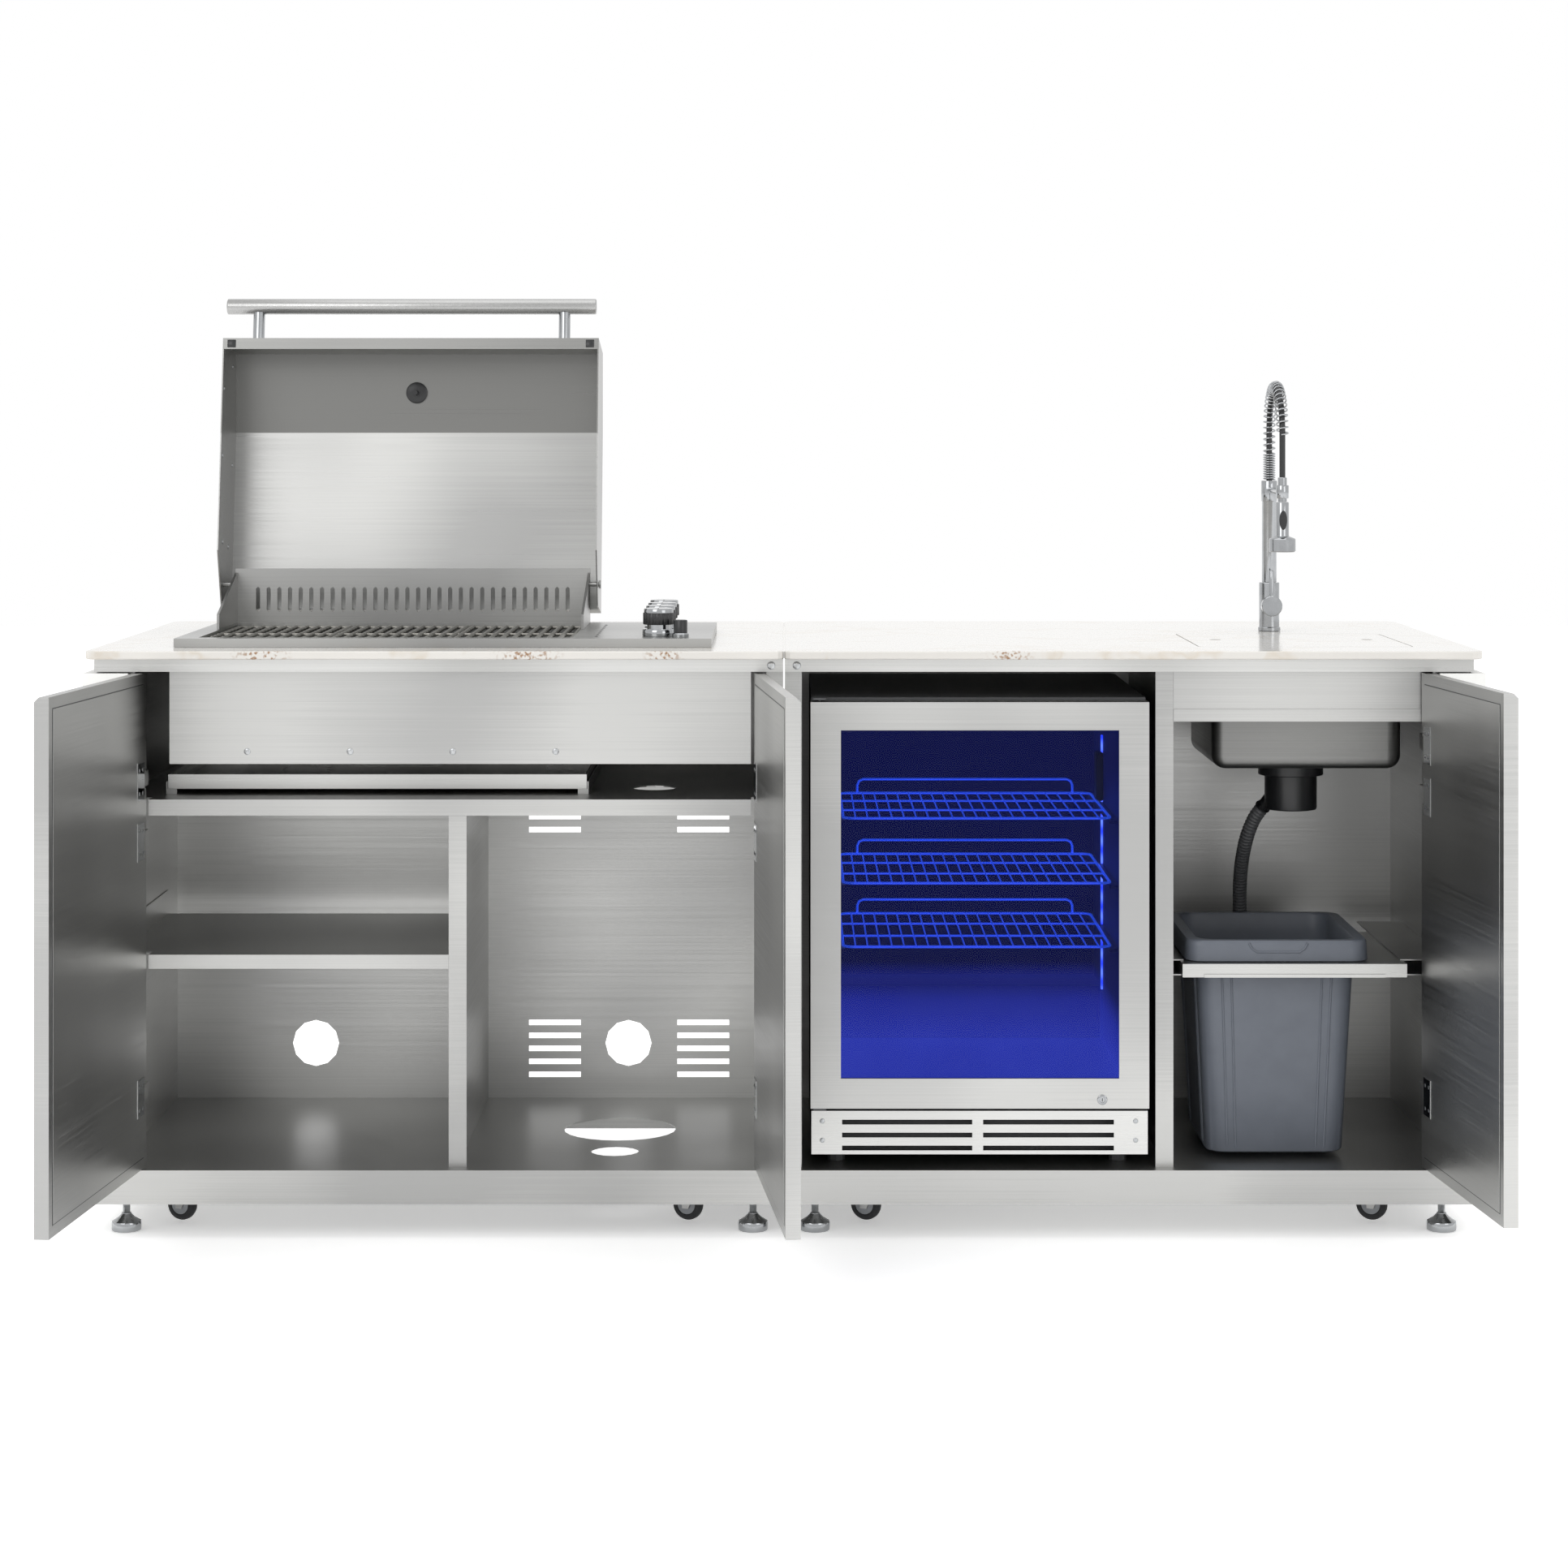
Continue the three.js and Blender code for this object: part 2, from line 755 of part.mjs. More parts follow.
function grillFascia() {
  const front = postSetBack;
  const back = cookFront - fireboxWall - seat;
  const foldZ = grillFasciaBottom + fasciaFold;
  const sheetFold = prism('x', [
    [front, grillFasciaBottom], [front + sheet, grillFasciaBottom], [front + sheet, fasciaTop - sheet],
    [back, fasciaTop - sheet], [back, fasciaTop], [front, fasciaTop], [front, foldZ],
  ], grillFasciaLeft, shelfRight);
  const bolts = Array.from({ length: fasciaBolts }, (_, i) => dome(
    fasciaBoltLeft + i * fasciaBoltPitch, front + sheet / 2, fasciaBoltZ, fasciaBoltRadius, fasciaBoltHead));
  return join(sheetFold, ...bolts);
}

function sinkFascia() {
  const front = postSetBack;
  const lipTop = sinkFasciaBottom + sinkLipHeight;
  const section = [
    [front - sinkLipProud, sinkFasciaBottom], [front - sinkLipProud + sheet, sinkFasciaBottom],
    [front - sinkLipProud + sheet, lipTop], [front + sheet, lipTop], [front + sheet, fasciaTop - sheet],
    [bowlFront - running, fasciaTop - sheet], [bowlFront - running, fasciaTop], [front, fasciaTop],
    [front, lipTop + sheet], [front - sinkLipProud, lipTop + sheet],
  ];
  return prism('x', section, rightDividerX + dividerFlange / 2 + seat, sinkFasciaRight);
}

piece('heat_shelf', brushedSteel, [join(heatShelf(), trayRail(-1), trayRail(1))]);
piece('low_shelf', brushedSteel, [lowShelf()]);
piece('left_end_panel', whiteEnamel, [endPanel(-1)]);
piece('right_end_panel', whiteEnamel, [endPanel(1)]);
piece('left_top_rail', brushedSteel, [topRail(-1)]);
piece('right_top_rail', brushedSteel, [topRail(1)]);
piece('grill_fascia', brushedSteel, [grillFascia()]);
piece('sink_fascia', brushedSteel, [sinkFascia()]);

// Worktops: polished slabs with the grill, the sink and their openings cut through
function worktop(side, openings) {
  const ends = [side * slabGap / 2, side * slabReach].sort((p, q) => p - q);
  const outline = roundedRectangle([ends[0], slabFront], [ends[1], slabBack], slabCorner, 3);
  return prism('z', outline, slabBottom, slabTop, openings, slabEase);
}

// The same slab with its faces parted along a line, so that the free side is a face by itself
function partedWorktop(side, openings, x) {
  const whole = worktop(side, openings);
  const beyond = (from, to) => block([from, slabFront - overrun, slabBottom - overrun],
    [to, slabBack + overrun, slabTop + overrun]);
  return join(cut(whole, beyond(x, x + slabReach)), cut(whole, beyond(x - slabReach, x)));
}
const grillCutOut = rectangle([grillLeft + cutOutMargin, grillFront + cutOutMargin],
  [grillRight - cutOutMargin, grillBack - cutOutBackMargin]);
const sinkCutOut = roundedRectangle([coverLeft - coverGap, coverFront - coverGap],
  [coverRight + coverGap, coverBack + coverGap], coverCorner + coverGap, 3);
piece('left_worktop', marble, [partedWorktop(-1, [grillCutOut], grillRight + 4)]);
piece('right_worktop', marble, [worktop(1, [sinkCutOut])]);

// Levelling feet: a turned pad and cone on a threaded stem
function levellingFoot(x, y) {
  const profile = [
    [0, 0], [footRadius, 0], [footRadius, footPad],
    [footStemRadius, footPad + footCone], [footStemRadius, wallFoot], [0, wallFoot],
  ];
  return turned(profile, [x, y, 0], Z, 8);
}
const bothSides = (inner, outer) => [-outer, -inner, inner, outer];
const footYs = [footFrontY, cabinetDepth - footInset];
const footPlaces = footYs.flatMap((y) => bothSides(footInnerX, footOuterX).map((x) => [x, y]));

// Casters: forks fixed to the trays, each with a wheel on its axle
const axleZ = wheelLift + wheelRadius;
const casterYs = [casterFrontY, cabinetDepth - casterFrontY];
const casterPlaces = casterYs.flatMap((y) => bothSides(casterInnerX, casterOuterX).map((x) => [x, y]));

function casterFork() {
  const half = wheelWidth / 2 + running;
  const plateTop = wallFoot;
  const plateLow = plateTop - forkPlateThickness;
  const crown = axleZ + wheelRadius + running;
  const plate = block([-forkPlate / 2, -forkPlate / 2, plateLow], [forkPlate / 2, forkPlate / 2, plateTop]);
  const stem = rod([0, 0, crown], [0, 0, plateTop - forkPlateThickness / 2], forkPlate / 4, 6);
  const bridge = block([-half - forkWall, -forkHeel, crown],
    [half + forkWall, forkTrail + forkHeel, crown + forkWall]);
  const legPlan = [
    [-forkHeel, crown + forkWall], [forkTrail - forkToe, axleZ - forkToe],
    [forkTrail + forkToe, axleZ - forkToe], [forkTrail + forkHeel, crown + forkWall],
  ];
  const legs = [-1, 1].map((side) => {
    const ends = [side * half, side * (half + forkWall)].sort((p, q) => p - q);
    return prism('x', legPlan, ends[0], ends[1]);
  });
  const axle = rod([-half - forkWall, forkTrail, axleZ], [half + forkWall, forkTrail, axleZ], axleRadius, 6);
  return join(plate, stem, bridge, ...legs, axle);
}

function casterWheel() {
  const half = wheelWidth / 2;
  const shoulder = wheelRadius - wheelCrown;
  const profile = [
    [wheelBore, -half], [shoulder, -half], [wheelRadius, -half + wheelCrown],
    [wheelRadius, half - wheelCrown], [shoulder, half], [wheelBore, half], [wheelBore, -half],
  ];
  return turned(profile, [0, 0, 0], X, 10);
}

const fork = casterFork();
casterPlaces.forEach(([x, y], i) => {
  const place = [x - forkTrail * Math.sin(forkYaw), y + forkTrail * Math.cos(forkYaw), axleZ];
  piece(`caster_wheel_${i + 1}`, tyreRubber, [casterWheel()], place, [0, 0, forkYaw]);
});

// Cabinet doors: a folded tray with a flat inner panel, drawn closed about the pivot. The
// hand is 1 for a door hinged at its left edge and -1 for one hinged at its right edge.
const hingeNotch = knuckleHeight / 2 + seat + eyeThickness + running;
const doorHeight = doorTop - doorBottom;

function handedBlock(hand, low, high) {
  const ends = [hand * low[0], hand * high[0]].sort((p, q) => p - q);
  return block([ends[0], low[1], low[2]], [ends[1], high[1], high[2]]);
}

function door(hand, width, hingeZs) {
  const front = -pivotDepth;
  const back = doorThickness - pivotDepth;
  const far = width - pivotInset;
  const ends = (inset) => [hand * (inset - pivotInset), hand * (far - inset)].sort((p, q) => p - q);
  const section = (wall, rear) => [
    [front + wall, wall], [rear, wall], [rear, doorHeight - wall],
    [front + doorBevel + wall / 2, doorHeight - wall], [front + wall, doorHeight - doorBevel - wall / 2],
  ];
  const shell = prism('x', section(0, back), ...ends(0));
  const hollow = prism('x', section(doorSheet, back + overrun), ...ends(doorSheet));
  const inset = doorSheet / 2;
  const panel = handedBlock(hand, [inset - pivotInset, back - doorSheet, inset],
    [far - inset, back, doorHeight - inset]);
  const notches = hingeZs.map((z) => handedBlock(hand,
    [-pivotInset - overrun, -knuckleRadius - sheet, z - doorBottom - hingeNotch],
    [knuckleRadius + running, back + overrun, z - doorBottom + hingeNotch]));
  const leaf = hingeLeaf(hand);
  const leaves = hingeZs.map((z) => moved(leaf, [0, 0, z - doorBottom]));
  return join(cut(join(cut(shell, hollow), panel), ...notches), ...leaves);
}

// Hinge leaves on the doors: a plate with two eyes and the pin between them
function hingeLeaf(hand) {
  const inner = doorThickness - pivotDepth - doorSheet / 2;
  const outer = doorThickness - pivotDepth + hingePlateThickness;
  const reach = knuckleRadius + sheet;
  const plate = handedBlock(hand, [reach, inner, -hingeHeight / 2],
    [reach + hingePlateWidth, outer, hingeHeight / 2]);
  const eye = [
    ...arc([0, 0], knuckleRadius, QUARTER, HALF + QUARTER, 3),
    [knuckleRadius, inner], [reach + sheet, inner], [reach + sheet, outer], [0, outer],
  ].map(([x, y]) => [hand * x, y]);
  const low = knuckleHeight / 2 + seat;
  const eyes = [-1, 1].map((side) => {
    const ends = [side * low, side * (low + eyeThickness)].sort((p, q) => p - q);
    return prism('z', eye, ends[0], ends[1]);
  });
  const pin = rod([0, 0, -low - eyeThickness], [0, 0, low + eyeThickness], hingePinRadius, 6);
  return join(plate, ...eyes, pin);
}

// Hinge arms on the cabinet: a block on the post with a tongue to the knuckle
function hingeArm(hand) {
  const side = -pivotInset - sheet / 2;
  const outline = [
    ...arc([0, 0], knuckleRadius, 0, -HALF, 3),
    [-knuckleRadius, hingeArmStart], [side, hingeArmStart], [side, hingeArmStart + hingeArmDepth],
    [side + hingeArmWidth, hingeArmStart + hingeArmDepth], [side + hingeArmWidth, hingeArmStart],
    [knuckleRadius, hingeArmStart],
  ].map(([x, y]) => [hand * x, y]);
  return prism('z', outline, -knuckleHeight / 2, knuckleHeight / 2, [circle([0, 0], hingeBoreRadius, 6)]);
}

const cabinetDoors = [
  ['left_door', 1, leftDoorEdge, pairDoorWidth, pairHingeZs],
  ['right_door', -1, rightDoorEdge, pairDoorWidth, pairHingeZs],
  ['sink_door', -1, sinkDoorEdge, sinkDoorWidth, sinkHingeZs],
];
const arms = { left: [], right: [] };
for (const [name, hand, edge, width, hingeZs] of cabinetDoors) {
  const pivotX = edge + hand * pivotInset;
  piece(name, brushedSteel, [door(hand, width, hingeZs)], [pivotX, pivotDepth, doorBottom],
    [0, 0, -hand * doorOpening]);
  arms[edge < 0 ? 'left' : 'right'].push(...hingeZs.map((z) => moved(hingeArm(hand),
    [pivotX, pivotDepth, z])));
}

// Grill: a frame on the slab with the firebox and the control box below it
const grillTop = slabTop + seat + grillLipHeight;
const boxFront = cookFront - fireboxWall;
const boxBack = cookBack + fireboxWall;
const controlRight = grillRight - cutOutMargin - running;
const ledgeTop = grateTop - grateRod - seat;

function firebox() {
  const lip = block([grillLeft, grillFront, slabTop + seat], [grillRight, grillBack, grillTop]);
  const body = block([cookLeft - fireboxWall, boxFront, fireboxBottom],
    [cookRight + fireboxWall, boxBack, slabTop + grillLipHeight / 2]);
  const controls = block([cookRight, boxFront, controlBoxBottom],
    [controlRight, boxBack, slabTop + grillLipHeight / 2]);
  const hollow = block([cookLeft, cookFront, fireboxBottom + plateSheet],
    [cookRight, cookBack, grillTop + overrun]);
  const controlHollow = block([cookRight + fireboxWall, boxFront + plateSheet, controlBoxBottom - overrun],
    [controlRight - plateSheet, boxBack - plateSheet, grillTop - plateSheet]);
  const outlet = block([gaugeX - outletHalf, trayBack / 2 - outletHalf, fireboxBottom - overrun],
    [gaugeX + outletHalf, trayBack / 2 + outletHalf, fireboxBottom + overrun]);
  const stemHoles = [...knobYs.map((y) => [knobX, y]), [igniterX, igniterY]].map((spot) => prism('z',
    circle(spot, knobStemRadius + running, 8), grillTop - overrun, grillTop + overrun));
  const ledges = [[cookFront, cookFront + ledgeDepth], [cookBack - ledgeDepth, cookBack]].map(([y0, y1]) =>
    block([cookLeft - fireboxWall / 2, y0 - fireboxWall / 2, ledgeTop - ledgeHeight],
      [cookRight + fireboxWall / 2, y1 + fireboxWall / 2, ledgeTop]));
  return join(cut(join(lip, body, controls), hollow, controlHollow, outlet, ...stemHoles), ...ledges);
}

// Slotted rear wall and the cheeks that carry the lid's pivot pins
function rearWall() {
  const base = grillTop + seat;
  const back = cookBack + rearWallThickness;
  const left = cookLeft - running - cheekThickness;
  const right = cookRight + running + cheekThickness;
  const slotRun = cookRight - cookLeft - 2 * rearSlotMargin - rearSlotWidth;
  const slots = Array.from({ length: rearSlots }, (_, i) => {
    const x = cookLeft + rearSlotMargin + (slotRun * i) / (rearSlots - 1);
    return slot([rearSlotTop - rearSlotHeight, x], [rearSlotTop, x + rearSlotWidth], 1);
  });
  const wall = prism('y', rectangle([base, left], [rearWallTop, right]), cookBack, back, slots);
  const side = [
    [cheekFront, base], [cheekFront, base + cheekFrontHeight], [cookBack - rearWallThickness, cheekTop],
    [back, cheekTop], [back, base],
  ];
  const cheeks = [[left, -1, lidLeft], [right - cheekThickness, 1, lidRight]].map(([x, out, lidSide]) => {
    const plate = prism('x', side, x, x + cheekThickness);
    const root = x + cheekThickness / 2;
    const end = lidSide + out * running;
    const pin = rod([root, lidPivotY, lidPivotZ], [end + out, lidPivotY, lidPivotZ], lidPinRadius, 8);
    const head = rod([end, lidPivotY, lidPivotZ],
      [end + out * lidPinHeadThickness, lidPivotY, lidPivotZ], lidPinHead, 8);
    return join(plate, pin, head);
  });
  return join(wall, ...cheeks);
}

// One section of the cooking grate: a cast frame with its bars
function cookingGrate(section) {
  const width = (cookRight - cookLeft - 2 * running) / grateSections;
  const left = cookLeft + running + section * width + seat;
  const right = left + width - 2 * seat;
  const [front, back] = [cookFront + running, cookBack - running];
  const pitch = (right - left - grateRod) / (grateRods - 1);
  const low = grateTop - grateRod;
  const gaps = Array.from({ length: grateRods - 1 }, (_, i) => block(
    [left + grateRod + i * pitch, front + grateRod, low - overrun],
    [left + (i + 1) * pitch, back - grateRod, grateTop + overrun]));
  return cut(block([left, front, low], [right, back, grateTop]), ...gaps);
}

function flameTamer(y) {
  const tamer = [
    [y - tamerHalfWidth, tamerZ], [y, tamerZ + tamerHeight], [y + tamerHalfWidth, tamerZ],
    [y + tamerHalfWidth - tamerSheet, tamerZ], [y, tamerZ + tamerHeight - tamerSheet],
    [y - tamerHalfWidth + tamerSheet, tamerZ],
  ];
  return prism('x', tamer, cookLeft + seat, cookRight - seat);
}

const burnerTubes = knobYs.map((y) => rod([cookLeft - running, y, burnerZ],
  [cookRight + running, y, burnerZ], burnerRadius, 8));
piece('grill_firebox', greySteel, [join(firebox(), ...burnerTubes)]);
piece('grill_rear_wall', greySteel, [rearWall()]);
for (let section = 0; section < grateSections; section += 1) {
  piece(`cooking_grate_${section + 1}`, castIron, [cookingGrate(section)]);
}
knobYs.forEach((y, i) => piece(`flame_tamer_${i + 1}`, greySteel, [flameTamer(y)]));

// Grill lid: a folded shell, open below and low at the back, drawn closed about its pivot
const gaugeG = lidBrowG + ((lidFront - gaugeF) * (lidTopG - lidBrowG)) / (lidFront - lidBrow);
const gaugeAxis = new THREE.Vector3(0, lidBrowG - lidTopG, lidFront - lidBrow).normalize();

function lidShell() {
  const outer = prism('x', [
    [-lidFront, lidRimG], [-lidFront, lidBrowG], [-lidBrow, lidTopG], [lidBackLip, lidTopG],
    [lidBackLip, lidHeelG], [-lidHeelF, lidRimG],
  ], lidLeft, lidRight);
  const below = lidRimG - overrun;
  const hollow = prism('x', [
    [-lidFront + lidSheet, below], [-lidFront + lidSheet, lidBrowG - lidSheet],
    [-lidBrow, lidTopG - lidSheet], [lidBackLip - lidSheet, lidTopG - lidSheet],
    [lidBackLip - lidSheet, lidLipG], [lidBackLip + overrun, lidLipG], [lidBackLip + overrun, below],
  ], lidLeft + lidSheet, lidRight - lidSheet);
  const rim = block([lidLeft + lidSheet / 2, -lidFront + lidSheet / 2, lidRimG],
    [lidRight - lidSheet / 2, -lidFront + lidRim, lidRimG + lidSheet]);
  const pinHole = rod([lidLeft - overrun, 0, 0], [lidRight + overrun, 0, 0], lidPinRadius + lidPinClearance, 8);
  const gaugeHole = rod(alongGauge(-gaugeStem), alongGauge(gaugeDepth), gaugeRadius - running, 10);
  return cut(join(cut(outer, hollow), rim), pinHole, gaugeHole);
}

function alongGauge(distance) {
  return new THREE.Vector3(gaugeX, -gaugeF, gaugeG).addScaledVector(gaugeAxis, distance).toArray();
}

function lidGauge() {
  const inside = -lidSheet - seat * 2;
  const neck = gaugeRadius - 2 * running;
  return turned([
    [0, -gaugeStem], [gaugeStemRadius, -gaugeStem], [gaugeStemRadius, inside - gaugeDepth / 2],
    [gaugeRadius, inside - gaugeDepth / 2], [gaugeRadius, inside], [neck, inside], [neck, seat],
    [gaugeRadius, seat], [gaugeRadius, gaugeDepth], [0, gaugeDepth],
  ], [gaugeX, -gaugeF, gaugeG], gaugeAxis, 10);
}

function lidHandle() {
  const bar = rod([handleLeft, -handleF, handleG], [handleRight, -handleF, handleG], handleRadius, 12);
  const posts = standoffXs.map((x) => rod([x, -lidFront - seat, handleG],
    [x, -handleF + handleRadius / 2, handleG], standoffRadius, 8));
  return join(bar, ...posts);
}

const lidPlace = [0, lidPivotY, lidPivotZ];
const lidTurn = [-lidOpening, 0, 0];
piece('grill_lid', brushedSteel, [lidShell()], lidPlace, lidTurn);
piece('lid_handle', brightSteel, [lidHandle()], lidPlace, lidTurn);
piece('lid_thermometer', blackPlastic, [lidGauge()], lidPlace, lidTurn);

// Knobs: a turned skirt and grip on a stem through the frame
function knob(radius, height) {
  return turned([
    [0, -knobStem], [knobStemRadius, -knobStem], [knobStemRadius, seat], [radius + running, seat],
    [radius + running, height * knobSkirtShare], [radius * knobNeckRadiusShare, height * knobSkirtShare],
    [radius * knobNeckRadiusShare, height * knobNeckShare], [radius, height * knobNeckShare],
    [radius, height * (1 - knobSkirtShare / 2)], [radius * knobCapRadiusShare, height], [0, height],
  ], [0, 0, 0], Z, 10);
}
knobYs.forEach((y, i) => {
  piece(`burner_knob_${i + 1}`, blackPlastic, [knob(knobRadius, knobHeight)], [knobX, y, grillTop]);
});
piece('ignition_knob', blackPlastic, [knob(igniterRadius, igniterHeight)],
  [igniterX, igniterY, grillTop]);

// Grease tray: an open pan that slides out to the front
function greaseTray() {
  const pan = block([trayLeft, trayFront, trayBottom], [trayRight, trayBack, trayTop]);
  const hollow = block([trayLeft + plateSheet, trayFront + plateSheet, trayBottom + plateSheet],
    [trayRight - plateSheet, trayBack - plateSheet, trayTop + overrun]);
  return cut(pan, hollow);
}
piece('grease_tray', brushedSteel, [greaseTray()]);

// Refrigerator: an insulated cabinet, a framed glass door and three wire shelves
const linerLeft = fridgeLeft + fridgeWall;
const linerRight = fridgeRight - fridgeWall;
const linerTop = fridgeTop - fridgeWall;
const linerBack = fridgeBack - fridgeWall;
const fridgePivotX = fridgeDoorLeft + fridgePivotInset;
const bracketReach = fridgePivotInset - bracketWidth / 2;

function fridgeBracket(low, pinEnd) {
  const left = fridgePivotX - bracketWidth / 2;
  const plate = block([left, bracketReach, low],
    [left + bracketWidth, fridgeFront + bracketWidth, low + bracketThickness]);
  const root = low + bracketThickness / 2;
  return join(plate, rod([fridgePivotX, fridgePivotInset, root],
    [fridgePivotX, fridgePivotInset, pinEnd], fridgePinRadius, 8));
}

function fridgeCabinet() {
  const body = block([fridgeLeft, fridgeFront, fridgeBottom], [fridgeRight, fridgeBack, fridgeTop]);
  const hollow = block([linerLeft, fridgeFront - overrun, linerBottom], [linerRight, linerBack, linerTop]);
  const hump = block([linerLeft - running, humpFront, linerBottom - running],
    [linerRight + running, linerBack + running, humpTop]);
  const carriers = rackZs.flatMap((z) => [[linerLeft - running, rackLeft + rackFrameRod],
    [rackRight - rackFrameRod, linerRight + running]].map(([x0, x1]) => block(
    [x0, rackFront, z - rackRibHeight], [x1, rackBack, z - seat])));
  const top = fridgeBracket(fridgeTop - running, fridgeTop - running - fridgePinLength);
  const lower = fridgeBracket(fridgeDoorBottom - bracketThickness - running,
    fridgeDoorBottom + fridgePinLength);
  return join(cut(body, hollow), hump, ...carriers, top, lower);
}

function fridgeDoorFrame() {
  const left = fridgeDoorLeft;
  const right = fridgeDoorRight;
  const bottom = fridgeDoorBottom;
  const top = fridgeTop - running - bracketThickness;
  const thickness = fridgeDoorThickness;
  const slabBlock = block([left, 0, bottom], [right, thickness, top]);
  const view = block([windowLeft, -overrun, windowBottom], [windowRight, thickness + overrun, windowTop]);
  const rebate = block([windowLeft - paneRebate, paneFront, windowBottom - paneRebate],
    [windowRight + paneRebate, thickness + overrun, windowTop + paneRebate]);
  const ends = [linerLeft - gasketWidth, linerRight + gasketWidth];
  const gasketOuter = block([ends[0], thickness - running, linerBottom - gasketWidth],
    [ends[1], fridgeFront - seat, linerTop + gasketWidth]);
  const gasketInner = block([linerLeft, thickness - overrun, linerBottom],
    [linerRight, fridgeFront + overrun, linerTop]);
  const sockets = [[bottom, bottom + fridgePinLength + running],
    [top - fridgePinLength - running, top]].map(([z0, z1]) => rod(
    [fridgePivotX, fridgePivotInset, z0 - running], [fridgePivotX, fridgePivotInset, z1 + running],
    fridgeSocketRadius, 8));
  return cut(join(slabBlock, gasketOuter), gasketInner, view, rebate, ...sockets);
}

function fridgePane() {
  const inset = paneRebate - seat;
  return block([windowLeft - inset, paneFront + seat, windowBottom - inset],
    [windowRight + inset, paneFront + paneThickness, windowTop + inset]);
}

// Wire shelf: bars between two end rods, with a raised rail at the back
function wireRack(z) {
  const top = z + rackFrameRod;
  const pitch = (rackRight - rackLeft - rackFrameRod) / (rackBars + 1);
  const gaps = Array.from({ length: rackBars + 1 }, (_, i) => block(
    [rackLeft + (i ? rackBarRod : rackFrameRod) + i * pitch, rackFront + rackFrameRod, z - overrun],
    [rackLeft + (i + 1) * pitch, rackBack - rackFrameRod, top + overrun]));
  const grid = cut(block([rackLeft, rackFront, z], [rackRight, rackBack, top]), ...gaps);
  const inner = z + rackRailHeight - rackFrameRod;
  const hoop = block([rackLeft, rackBack - rackFrameRod, top - running],
    [rackRight, rackBack, z + rackRailHeight]);
  const under = block([rackLeft + rackFrameRod, rackBack - 2 * rackFrameRod, top],
    [rackRight - rackFrameRod, rackBack + overrun, inner]);
  return join(grid, cut(hoop, under));
}

function toeGrille() {
  const shell = block([fridgeLeft, toeFront, fridgeBottom], [fridgeRight, fridgeFront - seat, toeTop]);
  const hollow = block([fridgeLeft + sheet, toeFront + sheet, fridgeBottom + sheet],
    [fridgeRight - sheet, fridgeFront + overrun, toeTop - sheet]);
  const louvres = toeSlotXs.flatMap(([x0, x1]) => Array.from({ length: toeSlots }, (_, row) => {
    const z = toeSlotLow + row * toeSlotPitch;
    return block([x0, toeFront - overrun, z], [x1, toeFront + overrun, z + toeSlotHeight]);
  }));
  return cut(shell, hollow, ...louvres);
}

const fridgeFeet = [fridgeLeft + fridgeFootInset, fridgeRight - fridgeFootInset].flatMap((x) =>
  [fridgeFront + fridgeFootInset, fridgeBack - fridgeFootInset].map((y) => rod(
    [x, y, floorTop], [x, y, fridgeBottom + running], fridgeFootRadius, 8)));
piece('fridge_cabinet', blackPlastic, [join(fridgeCabinet(), ...fridgeFeet)]);
piece('fridge_door', brushedSteel, [fridgeDoorFrame()]);
piece('fridge_glass', tintedGlass, [fridgePane()]);
rackZs.forEach((z, i) => piece(`fridge_shelf_${i + 1}`, chrome, [wireRack(z)]));
piece('toe_grille', brushedSteel, [toeGrille()]);

// Sink: a bowl whose flange lies under the slab, its cover and its drain
function sinkBowl() {
  const top = slabBottom - seat;
  const floor = bowlBottom + bowlSheet;
  const outer = prism('z', roundedRectangle([bowlLeft, bowlFront], [bowlRight, bowlBack], bowlCorner, 3),
    bowlBottom, top - bowlSheet / 2);
  const reach = coverGap + bowlFlange;
  const flange = prism('z', rectangle([coverLeft - reach, coverFront - reach],
    [coverRight + reach, coverBack + reach]), top - bowlSheet, top);
  const inner = prism('z', roundedRectangle([bowlLeft + bowlSheet, bowlFront + bowlSheet],
    [bowlRight - bowlSheet, bowlBack - bowlSheet], bowlCorner - bowlSheet, 3), floor, top + overrun);
  const outlet = prism('z', circle([drainX, drainY], drainThroat, 12), bowlBottom - overrun, floor + overrun);
  return cut(join(outer, flange), inner, outlet);
}

function sinkCover() {
  const outline = roundedRectangle([coverLeft, coverFront], [coverRight, coverBack], coverCorner, 3);
  const fingers = fingerXs.map((x) => circle([x, fingerY], fingerRadius, 10));
  return prism('z', outline, slabBottom, slabTop, fingers);
}

const hoseStart = new THREE.Vector3(...hoseRoute[0]);
const spigotRun = hoseStart.clone().sub(new THREE.Vector3(...hoseRoute[1])).normalize();
const spigotAt = (distance) => hoseStart.clone().addScaledVector(spigotRun, distance).toArray();

function drainBasket() {
  const top = bowlBottom - seat;
  const cup = turned([
    [0, drainCupBottom], [drainCupRadius, drainCupBottom], [drainCupRadius, drainFlangeBottom],
    [drainFlangeRadius, drainFlangeBottom], [drainFlangeRadius, top], [0, top],
  ], [drainX, drainY, 0], Z, 12);
  const spigot = rod(spigotAt(seat), spigotAt(2 * hoseRadius + running), spigotRadius, 8);
  const well = rod([drainX, drainY, drainCupBottom + drainWall], [drainX, drainY, top + overrun],
    drainThroat, 12);
  return cut(join(cup, spigot), well);
}

function hoseGrommet() {
  const [x, y, z] = hoseRoute.at(-1);
  return rod([x, y + seat, z], [x, cabinetDepth, z], grommetRadius, 8);
}

